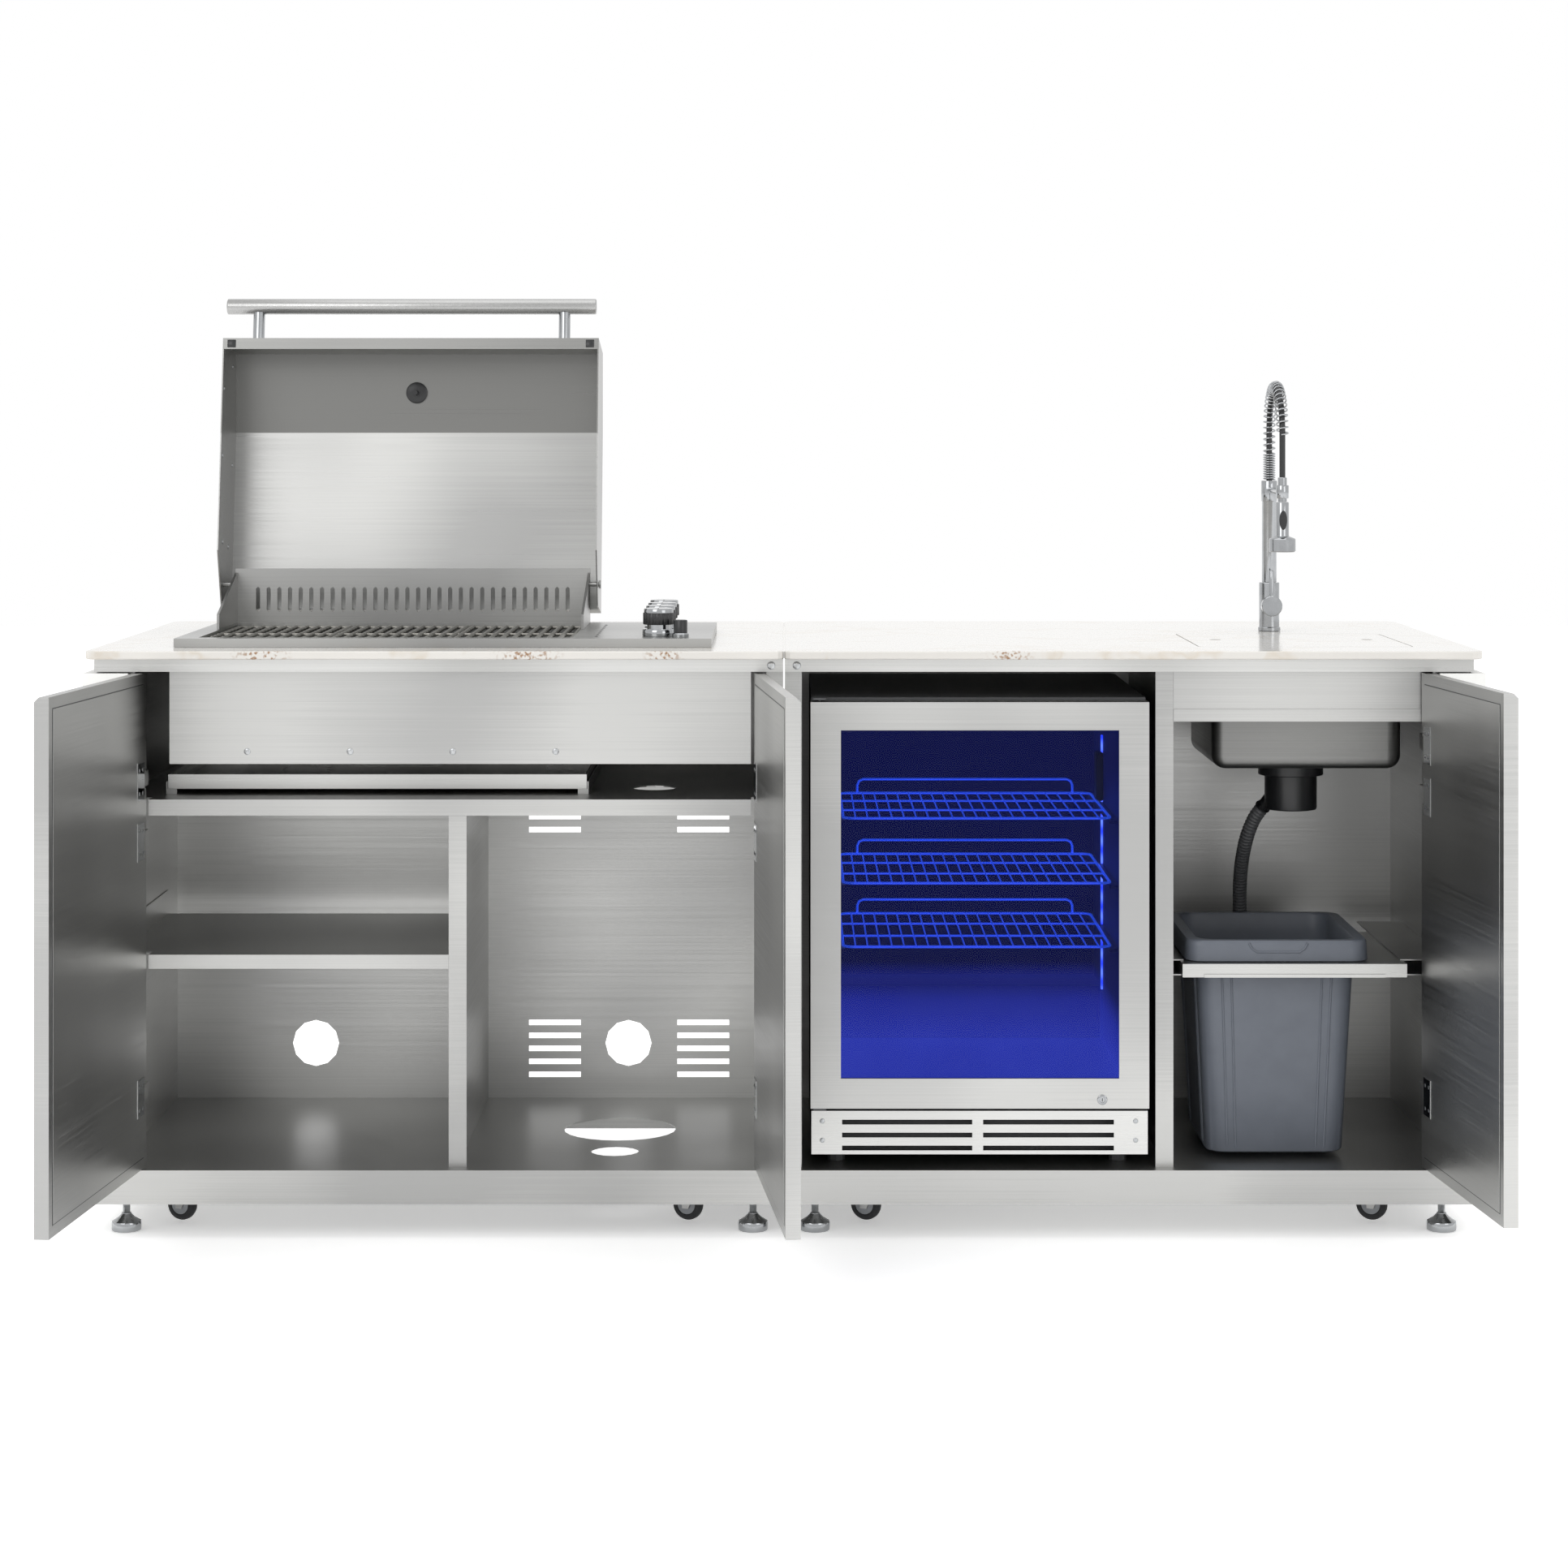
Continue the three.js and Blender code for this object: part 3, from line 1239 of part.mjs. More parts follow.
// Ribbed hose: crests and valleys outside, a smooth bore inside
function frames(points) {
  const path = points.map((p) => new THREE.Vector3(...p));
  const tangents = path.map((_, i) => path[Math.min(i + 1, path.length - 1)].clone()
    .sub(path[Math.max(i - 1, 0)]).normalize());
  let side = new THREE.Vector3().crossVectors(tangents[0], X).normalize();
  return path.map((centre, i) => {
    side = side.clone().addScaledVector(tangents[i], -side.dot(tangents[i])).normalize();
    return { centre, side, across: new THREE.Vector3().crossVectors(tangents[i], side) };
  });
}

function ring({ centre, side, across }, radius, steps) {
  return Array.from({ length: steps }, (_, i) => {
    const angle = (TURN * i) / steps;
    return centre.clone().addScaledVector(side, radius * Math.cos(angle))
      .addScaledVector(across, radius * Math.sin(angle));
  });
}

// Skin over rings of equally many points; the ends are fans, or join each other when looped
function loft(rings, looped = false) {
  const count = rings[0].length;
  const spots = rings.flat().flatMap((p) => p.toArray());
  const faces = [];
  const spans = looped ? rings.length : rings.length - 1;
  for (let r = 0; r < spans; r += 1) {
    const next = (r + 1) % rings.length;
    for (let i = 0; i < count; i += 1) {
      const j = (i + 1) % count;
      const [a, b, c, d] = [r * count + i, r * count + j, next * count + j, next * count + i];
      faces.push(a, b, c, a, c, d);
    }
  }
  const last = (rings.length - 1) * count;
  for (let i = 1; i < count - 1 && !looped; i += 1) {
    faces.push(0, i + 1, i, last, last + i, last + i + 1);
  }
  const geometry = new THREE.BufferGeometry();
  geometry.setAttribute('position', new THREE.Float32BufferAttribute(spots, 3));
  geometry.setIndex(faces);
  return clean(geometry);
}

function drainHose() {
  const curve = new THREE.CatmullRomCurve3(hoseRoute.map((p) => new THREE.Vector3(...p)));
  const ribs = Math.round(curve.getLength() / ribPitch);
  const stations = curve.getSpacedPoints(2 * ribs).map((p) => p.toArray());
  const line = frames(stations);
  const skin = line.map((frame, i) => ring(frame, i % 2 ? hoseRadius : hoseValley, ringPoints));
  const bore = line.filter((_, i) => i % (2 * ribsPerBoreRing) === 0 || i === line.length - 1)
    .map((frame) => ring(frame, hoseBore, ringPoints)).reverse();
  return loft([...skin, ...bore], true);
}

piece('sink_bowl', brushedSteel, [sinkBowl()]);
piece('sink_cover', marble, [sinkCover()]);
piece('drain_basket', blackPlastic, [drainBasket()]);
piece('drain_hose', hoseGrey, [drainHose()]);

// Faucet: a fixed base with a lever, and a turning column with a sprung hose and a spray head
const sprayY = faucetY - 2 * archRadius;
const bossEnd = faucetY - faucetBaseRadius - leverBoss / 2;

function faucetBase() {
  const low = slabTop + seat;
  const base = turned([
    [0, low], [faucetRingRadius, low], [faucetRingRadius, low + faucetRingHeight],
    [faucetBaseRadius, low + faucetRingHeight], [faucetBaseRadius, faucetBaseTop], [0, faucetBaseTop],
  ], [faucetX, faucetY, 0], Z, 16);
  return join(base, rod([faucetX, faucetY, leverZ], [faucetX, bossEnd, leverZ], leverBoss, 8));
}

function archPoint(distance) {
  const rise = archZ - collarTop;
  const angle = (distance - rise) / archRadius;
  if (distance < rise) return [0, collarTop + distance, 0];
  if (angle > HALF) return [-2 * archRadius, archZ - (distance - rise - HALF * archRadius), HALF];
  return [archRadius * (Math.cos(angle) - 1), archZ + archRadius * Math.sin(angle), angle];
}

function innerHose() {
  const rise = archZ - collarTop;
  const bend = Array.from({ length: archSteps + 1 }, (_, i) => rise + (HALF * archRadius * i) / archSteps);
  const stops = [-running, ...bend, rise + HALF * archRadius + archZ - holderBottom];
  const points = stops.map(archPoint).map(([y, z]) => [faucetX, faucetY + y, z]);
  return loft(frames(points).map((frame) => ring(frame, innerHoseRadius, 8)));
}

function faucetSpout() {
  const column = turned([
    [0, faucetBaseTop + seat], [columnRadius, faucetBaseTop + seat], [columnRadius, columnTop],
    [collarRadius, columnTop], [collarRadius, collarTop], [0, collarTop],
  ], [faucetX, faucetY, 0], Z, 12);
  const sleeve = turned([
    [0, sprayTop + seat], [sleeveRadius, sprayTop + seat], [sleeveRadius, sleeveTop], [0, sleeveTop],
  ], [faucetX, sprayY, 0], Z, 8);
  const holder = rod([faucetX, sprayY, holderBottom], [faucetX, sprayY, holderTop], holderRadius, 8);
  const armZ = (holderTop + holderBottom) / 2;
  const arm = rod([faucetX, faucetY, armZ], [faucetX, sprayY, armZ], holderArm, 6);
  return join(column, arm, holder, sleeve, innerHose());
}

// Spring: one unbroken wire round the hose, close at its foot and open over the arch
function springPoints() {
  const length = archZ - collarTop + HALF * archRadius;
  const denseCurls = denseLength / densePitch;
  const curls = denseCurls + (length - denseLength) / openPitch;
  const steps = Math.floor(curls * curlSteps);
  return Array.from({ length: steps + 1 }, (_, i) => {
    const curl = i / curlSteps;
    const along = curl < denseCurls ? curl * densePitch : denseLength + (curl - denseCurls) * openPitch;
    const [y, z, angle] = archPoint(along + springWire + seat);
    const turn = TURN * curl;
    const out = springMean * Math.sin(turn);
    return [faucetX + springMean * Math.cos(turn), faucetY + y + out * Math.cos(angle),
      z + out * Math.sin(angle)];
  });
}

function leastGap(points) {
  let least = Infinity;
  points.forEach((p, i) => {
    for (let j = i + curlSteps / 2; j < Math.min(i + 2 * curlSteps, points.length); j += 1) {
      least = Math.min(least, new THREE.Vector3(...p).distanceTo(new THREE.Vector3(...points[j])));
    }
  });
  return least - 2 * springWire;
}

const springLine = springPoints();
console.log(`faucet spring: least gap between its curls ${leastGap(springLine).toFixed(2)} mm`);
const spring = loft(frames(springLine).map((frame) => ring(frame, springWire, wireSides)));

function sprayHead() {
  const head = turned([
    [0, sprayFaceBottom], [sprayFaceRadius, sprayFaceBottom], [sprayFaceRadius, sprayFaceTop],
    [sprayRadius, sprayNeck + running], [sprayRadius, sprayTop - running],
    [sprayRadius - running, sprayTop], [0, sprayTop],
  ], [faucetX, sprayY, 0], Z, 16);
  const back = sprayY - sprayRadius + buttonDepth + buttonTravel;
  const low = [buttonZ - buttonHeight / 2 - seat, faucetX - buttonWidth / 2 - seat];
  const high = [buttonZ + buttonHeight / 2 + seat, faucetX + buttonWidth / 2 + seat];
  const recess = prism('y', slot(low, high, 2), sprayY - sprayRadius - overrun, back);
  return cut(head, recess);
}

function sprayButton() {
  const low = [buttonZ - buttonHeight / 2, faucetX - buttonWidth / 2];
  const high = [buttonZ + buttonHeight / 2, faucetX + buttonWidth / 2];
  return prism('y', slot(low, high, 2), sprayY - sprayRadius - buttonProud,
    sprayY - sprayRadius + buttonDepth - seat);
}

function faucetLever() {
  const front = bossEnd - seat - leverDepth;
  const disc = rod([faucetX, bossEnd - seat, leverZ], [faucetX, front, leverZ], leverRadius, 16);
  const stick = rod([faucetX, (front + bossEnd) / 2, leverZ], [faucetX, (front + bossEnd) / 2, leverTop],
    leverRod, 8);
  return join(disc, stick);
}

piece('faucet_base', chrome, [faucetBase()]);
piece('faucet_spout', chrome, [faucetSpout()]);
piece('faucet_spring', chrome, [spring]);
piece('spray_head', chrome, [sprayHead()]);
piece('spray_button', blackPlastic, [sprayButton()]);
piece('faucet_lever', chrome, [faucetLever()]);

// Waste bin: a tapered shell whose rim rests on a sliding frame
function binRing(width, depth, z) {
  const y = binFront + binDepth / 2;
  return roundedRectangle([binX - width / 2, y - depth / 2], [binX + width / 2, y + depth / 2],
    binCorner, 3).map(([u, v]) => new THREE.Vector3(u, v, z));
}

function wasteBin() {
  const rimLow = frameTop + seat;
  const wall = 2 * binWall;
  return loft([
    binRing(binFootWidth, binFootDepth, binBottom), binRing(binBodyWidth, binBodyDepth, rimLow),
    binRing(binRimWidth, binDepth, rimLow), binRing(binRimWidth - wall / 2, binDepth - wall / 2, binRimTop),
    binRing(binBodyWidth - wall, binBodyDepth - wall, binRimTop),
    binRing(binFootWidth - wall, binFootDepth - wall, binBottom + binWall),
  ]);
}

function binFrame() {
  const y = binFront + binDepth / 2;
  const outer = block([frameLeft, frameFront, frameBottom], [frameRight, frameBack, frameTop]);
  const pocket = block([frameLeft + frameSheet, frameFront + frameSheet, frameBottom - overrun],
    [frameRight - frameSheet, frameBack - frameSheet, frameTop - frameSheet]);
  const hole = prism('z', roundedRectangle(
    [binX - binBodyWidth / 2 - running, y - binBodyDepth / 2 - running],
    [binX + binBodyWidth / 2 + running, y + binBodyDepth / 2 + running], binCorner, 3),
  frameBottom, frameTop + overrun);
  const strip = block([frameLeft + stripInset, frameFront - stripProud, frameBottom],
    [frameRight - stripInset, frameFront + frameSheet / 2, frameBottom + stripHeight]);
  return join(cut(outer, pocket, hole), strip);
}

// Runners: channels on the bay's walls that hold the frame's edges
function binRunner(wallX, edge, inward) {
  const low = frameBottom - seat;
  const high = frameTop + seat;
  const toe = edge + inward * runnerHold;
  const keeper = edge + inward * stripHeight;
  const web = wallX + inward * runnerSheet;
  const section = [
    [wallX, low - runnerSheet], [toe, low - runnerSheet], [toe, low], [web, low], [web, high],
    [keeper, high], [keeper, high + runnerSheet], [wallX, high + runnerSheet],
  ];
  return prism('y', section.map(([x, z]) => [z, x]), runnerFront, runnerBack);
}

piece('waste_bin', binGrey, [wasteBin()]);
piece('bin_frame', brushedSteel, [binFrame()]);

// Carcasses: each cabinet's tray, walls, back and divider, with its feet, caster forks,
// hinge arms, bin runners and the hose's wall socket
function carcass(side, extras) {
  const own = ([x]) => Math.sign(x) === side;
  return join(baseTray(side), outerWall(side), middleWall(side), backPanel(side),
    ...footPlaces.filter(own).map(([x, y]) => levellingFoot(x, y)),
    ...casterPlaces.filter(own).map(([x, y]) => moved(fork, [x, y, 0], forkYaw)), ...extras);
}
piece('left_carcass', brushedSteel, [carcass(-1, [
  divider(leftDividerX, heatShelfTop - heatShelfLip - seat), ...arms.left,
])]);
piece('right_carcass', brushedSteel, [carcass(1, [
  divider(rightDividerX, wallTop), ...arms.right, hoseGrommet(),
  binRunner(rightDividerX, frameLeft, 1), binRunner(outerWallFace + sheet / 2, frameRight, -1),
])]);

// The origin is at the floor, under the middle of the island as it stands open
const extent = new THREE.Box3().setFromObject(island, true);
const middle = extent.getCenter(new THREE.Vector3());
island.position.set(-middle.x, -middle.y, -extent.min.z);

export default island;
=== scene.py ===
# Outdoor kitchen island with a grill, a refrigerator, a sink and a pull-out bin: finishes, fine
# pieces, studio and camera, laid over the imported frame. Metres; X right, Y to the back, Z up.
import math

import bpy
from mathutils import Matrix, Vector


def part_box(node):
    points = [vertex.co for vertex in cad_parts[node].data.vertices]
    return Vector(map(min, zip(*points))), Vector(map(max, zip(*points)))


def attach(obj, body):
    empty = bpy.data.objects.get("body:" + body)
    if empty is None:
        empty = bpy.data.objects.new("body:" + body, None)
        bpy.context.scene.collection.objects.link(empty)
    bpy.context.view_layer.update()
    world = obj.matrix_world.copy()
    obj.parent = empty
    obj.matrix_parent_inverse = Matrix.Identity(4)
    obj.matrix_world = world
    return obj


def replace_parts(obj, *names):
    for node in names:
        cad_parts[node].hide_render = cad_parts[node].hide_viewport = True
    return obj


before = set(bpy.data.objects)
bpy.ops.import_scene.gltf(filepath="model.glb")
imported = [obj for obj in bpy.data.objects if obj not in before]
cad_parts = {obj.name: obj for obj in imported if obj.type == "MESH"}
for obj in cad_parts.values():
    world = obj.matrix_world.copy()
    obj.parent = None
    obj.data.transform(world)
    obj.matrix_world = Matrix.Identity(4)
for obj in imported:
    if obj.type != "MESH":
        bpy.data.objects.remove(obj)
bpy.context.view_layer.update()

# Drawing sizes are in mm: x from the cabinets' seam, y from the shut doors' plane, z from the floor
MM = 0.001
TURN = 2 * math.pi
SLAB_PROUD = 22  # the slabs stand out in front of the doors
SLAB_TOP = 920
GRILL_TOP = 934
FRONT_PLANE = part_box("left_worktop")[0].y + SLAB_PROUD * MM
UPWARD, FRONTWARD = (0, 0, 1), (0, -1, 0)


def mm(x, y, z):
    """A vector given in mm, in metres."""
    return Vector((x, y, z)) * MM


def at(x, y, z):
    """A drawing place as a point of the frame."""
    return Vector((x * MM, FRONT_PLANE + y * MM, z * MM))


def drawn(point):
    """A point of the frame as a drawing place."""
    return (point[0] / MM, (point[1] - FRONT_PLANE) / MM, point[2] / MM)


# Camera
CAMERA_AWAY, CAMERA_HEIGHT = 5448, 1280
LENS, SENSOR, LENS_SHIFT = 79.94, 36, -0.2319
SIGHT = 60  # metres


def photo_camera():
    """A long lens, level, 5.45 m in front of the doors, shifted down onto the island."""
    data = bpy.data.cameras.new("photo_camera")
    data.lens = LENS
    data.sensor_width = SENSOR
    data.shift_y = LENS_SHIFT
    data.clip_end = SIGHT
    camera = bpy.data.objects.new("photo_camera", data)
    camera.location = at(0, -CAMERA_AWAY, CAMERA_HEIGHT)
    camera.rotation_euler = (math.radians(90), 0, 0)
    bpy.context.scene.collection.objects.link(camera)
    bpy.context.scene.camera = camera


photo_camera()


# Nodes and finishes
def hex_colour(code):
    """An sRGB hex value as linear colour."""
    channels = [int(code[i:i + 2], 16) / 255 for i in (1, 3, 5)]
    return [c / 12.92 if c <= 0.04045 else ((c + 0.055) / 1.055) ** 2.4 for c in channels] + [1.0]


def add(tree, kind, inputs=None, **settings):
    """Adds one node: settings are its properties, inputs are values or other nodes' outputs."""
    made = tree.nodes.new(kind)
    for name, value in settings.items():
        setattr(made, name, value)
    for key, value in (inputs or {}).items():
        if isinstance(value, bpy.types.NodeSocket):
            tree.links.new(value, made.inputs[key])
        else:
            made.inputs[key].default_value = value
    return made


def finish(name, constants):
    """A named material, its tree and its shader with the constants set on the shader's own sockets."""
    material = bpy.data.materials.new(name)
    material.use_nodes = True
    tree = material.node_tree
    shader = tree.nodes["Principled BSDF"]
    for socket, value in constants.items():
        shader.inputs[socket].default_value = value
    return material, tree, shader


def drive(tree, shader, sockets):
    """Links outputs to the shader's sockets by name."""
    for socket, output in sockets.items():
        tree.links.new(output, shader.inputs[socket])


def brushed_steel(name, light, dark, per_metre, roughness, relief=0.03):
    """Austenitic stainless sheet, belt-brushed: long parallel scratches that smear highlights.
    The real scratches lie 0.2 mm apart; they are drawn 2 to 3 mm apart so that they show.
    The pattern's changes are given to the metre of X, Y and Z, the relief in mm."""
    material, tree, shader = finish(name, {"Metallic": 1.0})
    place = add(tree, "ShaderNodeTexCoord").outputs["Object"]
    lines = add(tree, "ShaderNodeMapping", {"Vector": place, "Scale": per_metre})
    grain = add(tree, "ShaderNodeTexNoise", {"Vector": lines.outputs[0], "Scale": 1.0, "Detail": 3.0,
                                             "Roughness": 0.7})
    # Rolling leaves slow tonal drift, about 0.4 m from light to dark, and the scratches fade with it
    drift = add(tree, "ShaderNodeTexNoise", {"Vector": place, "Scale": 2.4, "Detail": 1.0}).outputs[0]
    both = add(tree, "ShaderNodeMath", {0: grain.outputs[0], 1: drift, 2: drift}, operation="MULTIPLY_ADD")
    tone = add(tree, "ShaderNodeValToRGB", {"Fac": both.outputs[0]})
    ends = tone.color_ramp.elements
    ends[0].position, ends[0].color = 0.55, hex_colour(dark)
    ends[1].position, ends[1].color = 0.9583, hex_colour(light)
    gloss = add(tree, "ShaderNodeMapRange", {"Value": grain.outputs[0], "From Min": 0.3, "From Max": 0.7,
                                             "To Min": roughness - 0.05, "To Max": roughness + 0.07})
    bump = add(tree, "ShaderNodeBump", {"Height": grain.outputs[0], "Strength": 0.35,
                                        "Distance": relief * MM})
    drive(tree, shader, {"Base Color": tone.outputs[0], "Roughness": gloss.outputs[0],
                         "Normal": bump.outputs[0]})
    return material


# Upright sheets: scratches run level, so the pattern changes fast only with height
DOOR_STEEL = brushed_steel("brushed_stainless_door_sheet", "#c0c0be", "#a8a8a7", (1.5, 1.5, 420), 0.33)
CABINET_STEEL = brushed_steel("brushed_stainless_cabinet_sheet", "#bbbbb9", "#a2a2a1", (1.5, 1.5, 380), 0.34)
TRIM_STEEL = brushed_steel("brushed_stainless_trim", "#cdcdcb", "#b4b4b2", (1.5, 1.5, 480), 0.30, 0.04)
# The lid's scratches run along it, also where its sheet slopes
LID_STEEL = brushed_steel("brushed_stainless_lid_sheet", "#b2b2b0", "#9b9b9a", (1.2, 300, 300), 0.32)
# Level sheets: the scratches run left to right, so the pattern changes fast only in depth
LEVEL_STEEL = brushed_steel("brushed_stainless_level_sheet", "#b0b0ae", "#989897", (1.5, 420, 1.5), 0.30)
# Drawn sheet: darker and duller than the flat sheets
DRAWN_STEEL = brushed_steel("satin_drawn_stainless_bowl", "#8a8a88", "#757574", (1.5, 1.5, 380), 0.36)

ROOF_CREASE, ROOF_BLEND = 1257.5, 1.5


def painted_roof_reflection(material):
    """Painted reflection: the open lid's upper inner sheet, above its crease, mirrors the dark grates, and
    this is painted into its base colour as a darker grey.
    """
    tree = material.node_tree
    shader = next(n for n in tree.nodes if n.type == "BSDF_PRINCIPLED")
    tone = shader.inputs["Base Color"].links[0].from_socket
    place = add(tree, "ShaderNodeTexCoord")
    spot = add(tree, "ShaderNodeSeparateXYZ", {0: place.outputs["Object"]})
    side = add(tree, "ShaderNodeSeparateXYZ", {0: place.outputs["Normal"]})
    over = add(tree, "ShaderNodeMapRange", {"Value": spot.outputs[2], "From Min": ROOF_CREASE * MM,
                                            "From Max": (ROOF_CREASE + ROOF_BLEND) * MM})
    inward = add(tree, "ShaderNodeMapRange", {"Value": side.outputs[1], "From Min": -0.97, "From Max": -0.99})
    share = add(tree, "ShaderNodeMath", {0: over.outputs[0], 1: inward.outputs[0]}, operation="MULTIPLY")
    # Painted reflection: the grey of the dark grates, mixed in where the sheet faces front above the crease
    mixed = add(tree, "ShaderNodeMix", {"Factor": share.outputs[0], 6: tone, 7: hex_colour("#7a7a78")},
                data_type="RGBA")
    drive(tree, shader, {"Base Color": mixed.outputs[2]})


painted_roof_reflection(LID_STEEL)


def chrome_plate():
    """Bright nickel-chrome plating: a clean mirror with a very faint haze of wiping marks."""
    material, tree, shader = finish("bright_chrome_plate", {"Metallic": 1.0})
    place = add(tree, "ShaderNodeTexCoord").outputs["Object"]
    haze = add(tree, "ShaderNodeTexNoise", {"Vector": place, "Scale": 60.0, "Detail": 2.0})
    gloss = add(tree, "ShaderNodeMapRange", {"Value": haze.outputs[0], "To Min": 0.05, "To Max": 0.14})
    tone = add(tree, "ShaderNodeMix", {"Factor": haze.outputs[0], 6: hex_colour("#97999b"),
                                       7: hex_colour("#adafb1")}, data_type="RGBA")
    drive(tree, shader, {"Base Color": tone.outputs[2], "Roughness": gloss.outputs[0]})
    return material


CHROME = chrome_plate()

# Iron stains on the front edge: x and how far each reaches, in mm
STAINS = ((-815, 50), (-400, 60), (-187, 35), (353, 40))
STAIN_Z = SLAB_TOP - 4


def white_marble():
    """Polished white marble: milky, with faint beige veins that wander every 0.3 m and a few brown
    stains on the front edge, broken up by a noise of 6 mm."""
    material, tree, shader = finish("polished_white_marble", {"IOR": 1.5, "Coat Weight": 0.25,
                                                             "Coat Roughness": 0.05})
    place = add(tree, "ShaderNodeTexCoord").outputs["Object"]
    bend = add(tree, "ShaderNodeTexNoise", {"Vector": place, "Scale": 2.2, "Detail": 5.0, "Roughness": 0.6})
    turned = add(tree, "ShaderNodeMapping", {"Vector": place, "Rotation": (0, 0, 0.5), "Scale": (1, 2.2, 1)})
    pushed = add(tree, "ShaderNodeVectorMath", {0: bend.outputs["Color"], 1: turned.outputs[0]},
                 operation="ADD")
    veins = add(tree, "ShaderNodeTexNoise", {"Vector": pushed.outputs[0], "Scale": 1.8, "Detail": 4.0})
    vein_line = add(tree, "ShaderNodeValToRGB", {"Fac": veins.outputs[0]})
    ramp = vein_line.color_ramp
    ramp.elements[0].position, ramp.elements[0].color = 0.475, (0, 0, 0, 1)
    ramp.elements[1].position, ramp.elements[1].color = 0.525, (0, 0, 0, 1)
    ramp.elements.new(0.5).color = (1, 1, 1, 1)
    faint = add(tree, "ShaderNodeMath", {0: vein_line.outputs[0], 1: 0.32}, operation="MULTIPLY")
    stone = add(tree, "ShaderNodeMix", {"Factor": faint.outputs[0], 6: hex_colour("#d0cdc8"),
                                        7: hex_colour("#b5a284")}, data_type="RGBA")
    grit = add(tree, "ShaderNodeTexNoise", {"Vector": place, "Scale": 160.0, "Detail": 3.0})
    broken = add(tree, "ShaderNodeMapRange", {"Value": grit.outputs[0], "From Min": 0.5, "From Max": 0.62})
    colour = stone.outputs[2]
    for x, reach in STAINS:
        away = add(tree, "ShaderNodeVectorMath", {0: place, 1: at(x, -SLAB_PROUD, STAIN_Z)},
                   operation="DISTANCE")
        near = add(tree, "ShaderNodeMapRange", {"Value": away.outputs["Value"], "From Min": reach * MM,
                                                "From Max": 0.3 * reach * MM, "To Max": 0.9})
        stain = add(tree, "ShaderNodeMath", {0: near.outputs[0], 1: broken.outputs[0]}, operation="MULTIPLY")
        mixed = add(tree, "ShaderNodeMix", {"Factor": stain.outputs[0], 6: colour, 7: hex_colour("#8a6237")},
                    data_type="RGBA")
        colour = mixed.outputs[2]
    gloss = add(tree, "ShaderNodeMapRange", {"Value": grit.outputs[0], "To Min": 0.12, "To Max": 0.2})
    drive(tree, shader, {"Base Color": colour, "Roughness": gloss.outputs[0]})
    return material


MARBLE = white_marble()


def grained(name, light, dark, scale, roughness, relief, constants=None):
    """A surface with a fine random texture: moulded plastic, rubber, enamel or cast metal.
    Light and dark give its uneven colour, scale is in grains per metre and relief in mm."""
    material, tree, shader = finish(name, constants or {})
    place = add(tree, "ShaderNodeTexCoord").outputs["Object"]
    grain = add(tree, "ShaderNodeTexNoise", {"Vector": place, "Scale": scale, "Detail": 3.0})
    cloud = add(tree, "ShaderNodeTexNoise", {"Vector": place, "Scale": scale / 25, "Detail": 2.0})
    tone = add(tree, "ShaderNodeMix", {"Factor": cloud.outputs[0], 6: hex_colour(dark),
                                       7: hex_colour(light)}, data_type="RGBA")
    gloss = add(tree, "ShaderNodeMapRange", {"Value": grain.outputs[0], "From Min": 0.3, "From Max": 0.7,
                                             "To Min": roughness - 0.06, "To Max": roughness + 0.06})
    bump = add(tree, "ShaderNodeBump", {"Height": grain.outputs[0], "Strength": 0.4,
                                        "Distance": relief * MM})
    drive(tree, shader, {"Base Color": tone.outputs[2], "Roughness": gloss.outputs[0],
                         "Normal": bump.outputs[0]})
    return material


METAL = {"Metallic": 1.0}
# Powder-coated steel: orange peel of about 2 mm
ENAMEL = grained("white_powder_coat", "#f3f3f1", "#e9e9e6", 500, 0.38, 0.08, {"IOR": 1.5})
# ABS and nylon mouldings: spark-eroded mould grain of about 1 mm
BLACK_ABS = grained("black_satin_abs", "#1d1e20", "#141517", 1200, 0.34, 0.04, {"IOR": 1.53})
BIN_PLASTIC = grained("grey_blue_polypropylene", "#686d76", "#5c616a", 700, 0.46, 0.08, {"IOR": 1.49})
HOSE_PLASTIC = grained("dark_grey_polyethylene_hose", "#5f6062", "#4b4c4e", 600, 0.5, 0.06, {"IOR": 1.51})
TYRE_RUBBER = grained("black_thermoplastic_rubber", "#26272a", "#18191b", 800, 0.72, 0.1)
HUB_NYLON = grained("grey_nylon_hub", "#8d9094", "#75787c", 900, 0.45, 0.05, {"IOR": 1.53})
CASE_PAINT = grained("black_painted_case", "#505153", "#434446", 600, 0.5, 0.05, {"IOR": 1.5})
# Drawn tube, satin finished: almost even, with long soft clouds
BAR_STEEL = grained("satin_stainless_tube", "#aeaead", "#a2a2a1", 200, 0.3, 0.01, METAL)
# Cooking rods: stainless dulled by heat, with a dark straw cast
ROD_STEEL = grained("heat_dulled_stainless_rod", "#a9a7a1", "#6f6d68", 900, 0.42, 0.08, METAL)
ZINC = grained("zinc_plated_steel", "#c6c8ca", "#a9acae", 700, 0.32, 0.04, METAL)
# Shelf wires: chromed; the blue light from behind is painted on them as a blue base colour and a blue glow
RACK_WIRE_PAINTED_BLUE = grained("chromed_rack_wire_painted_blue_light", "#8ea4ff", "#6a82f2", 300, 0.2, 0.02,
                      {"Metallic": 1.0, "Emission Strength": 0.7, "Emission Color": (0.05, 0.2, 1.0, 1.0)})

PAINTED_GLOW_BOTTOM, PAINTED_GLOW_TOP = 240, 810


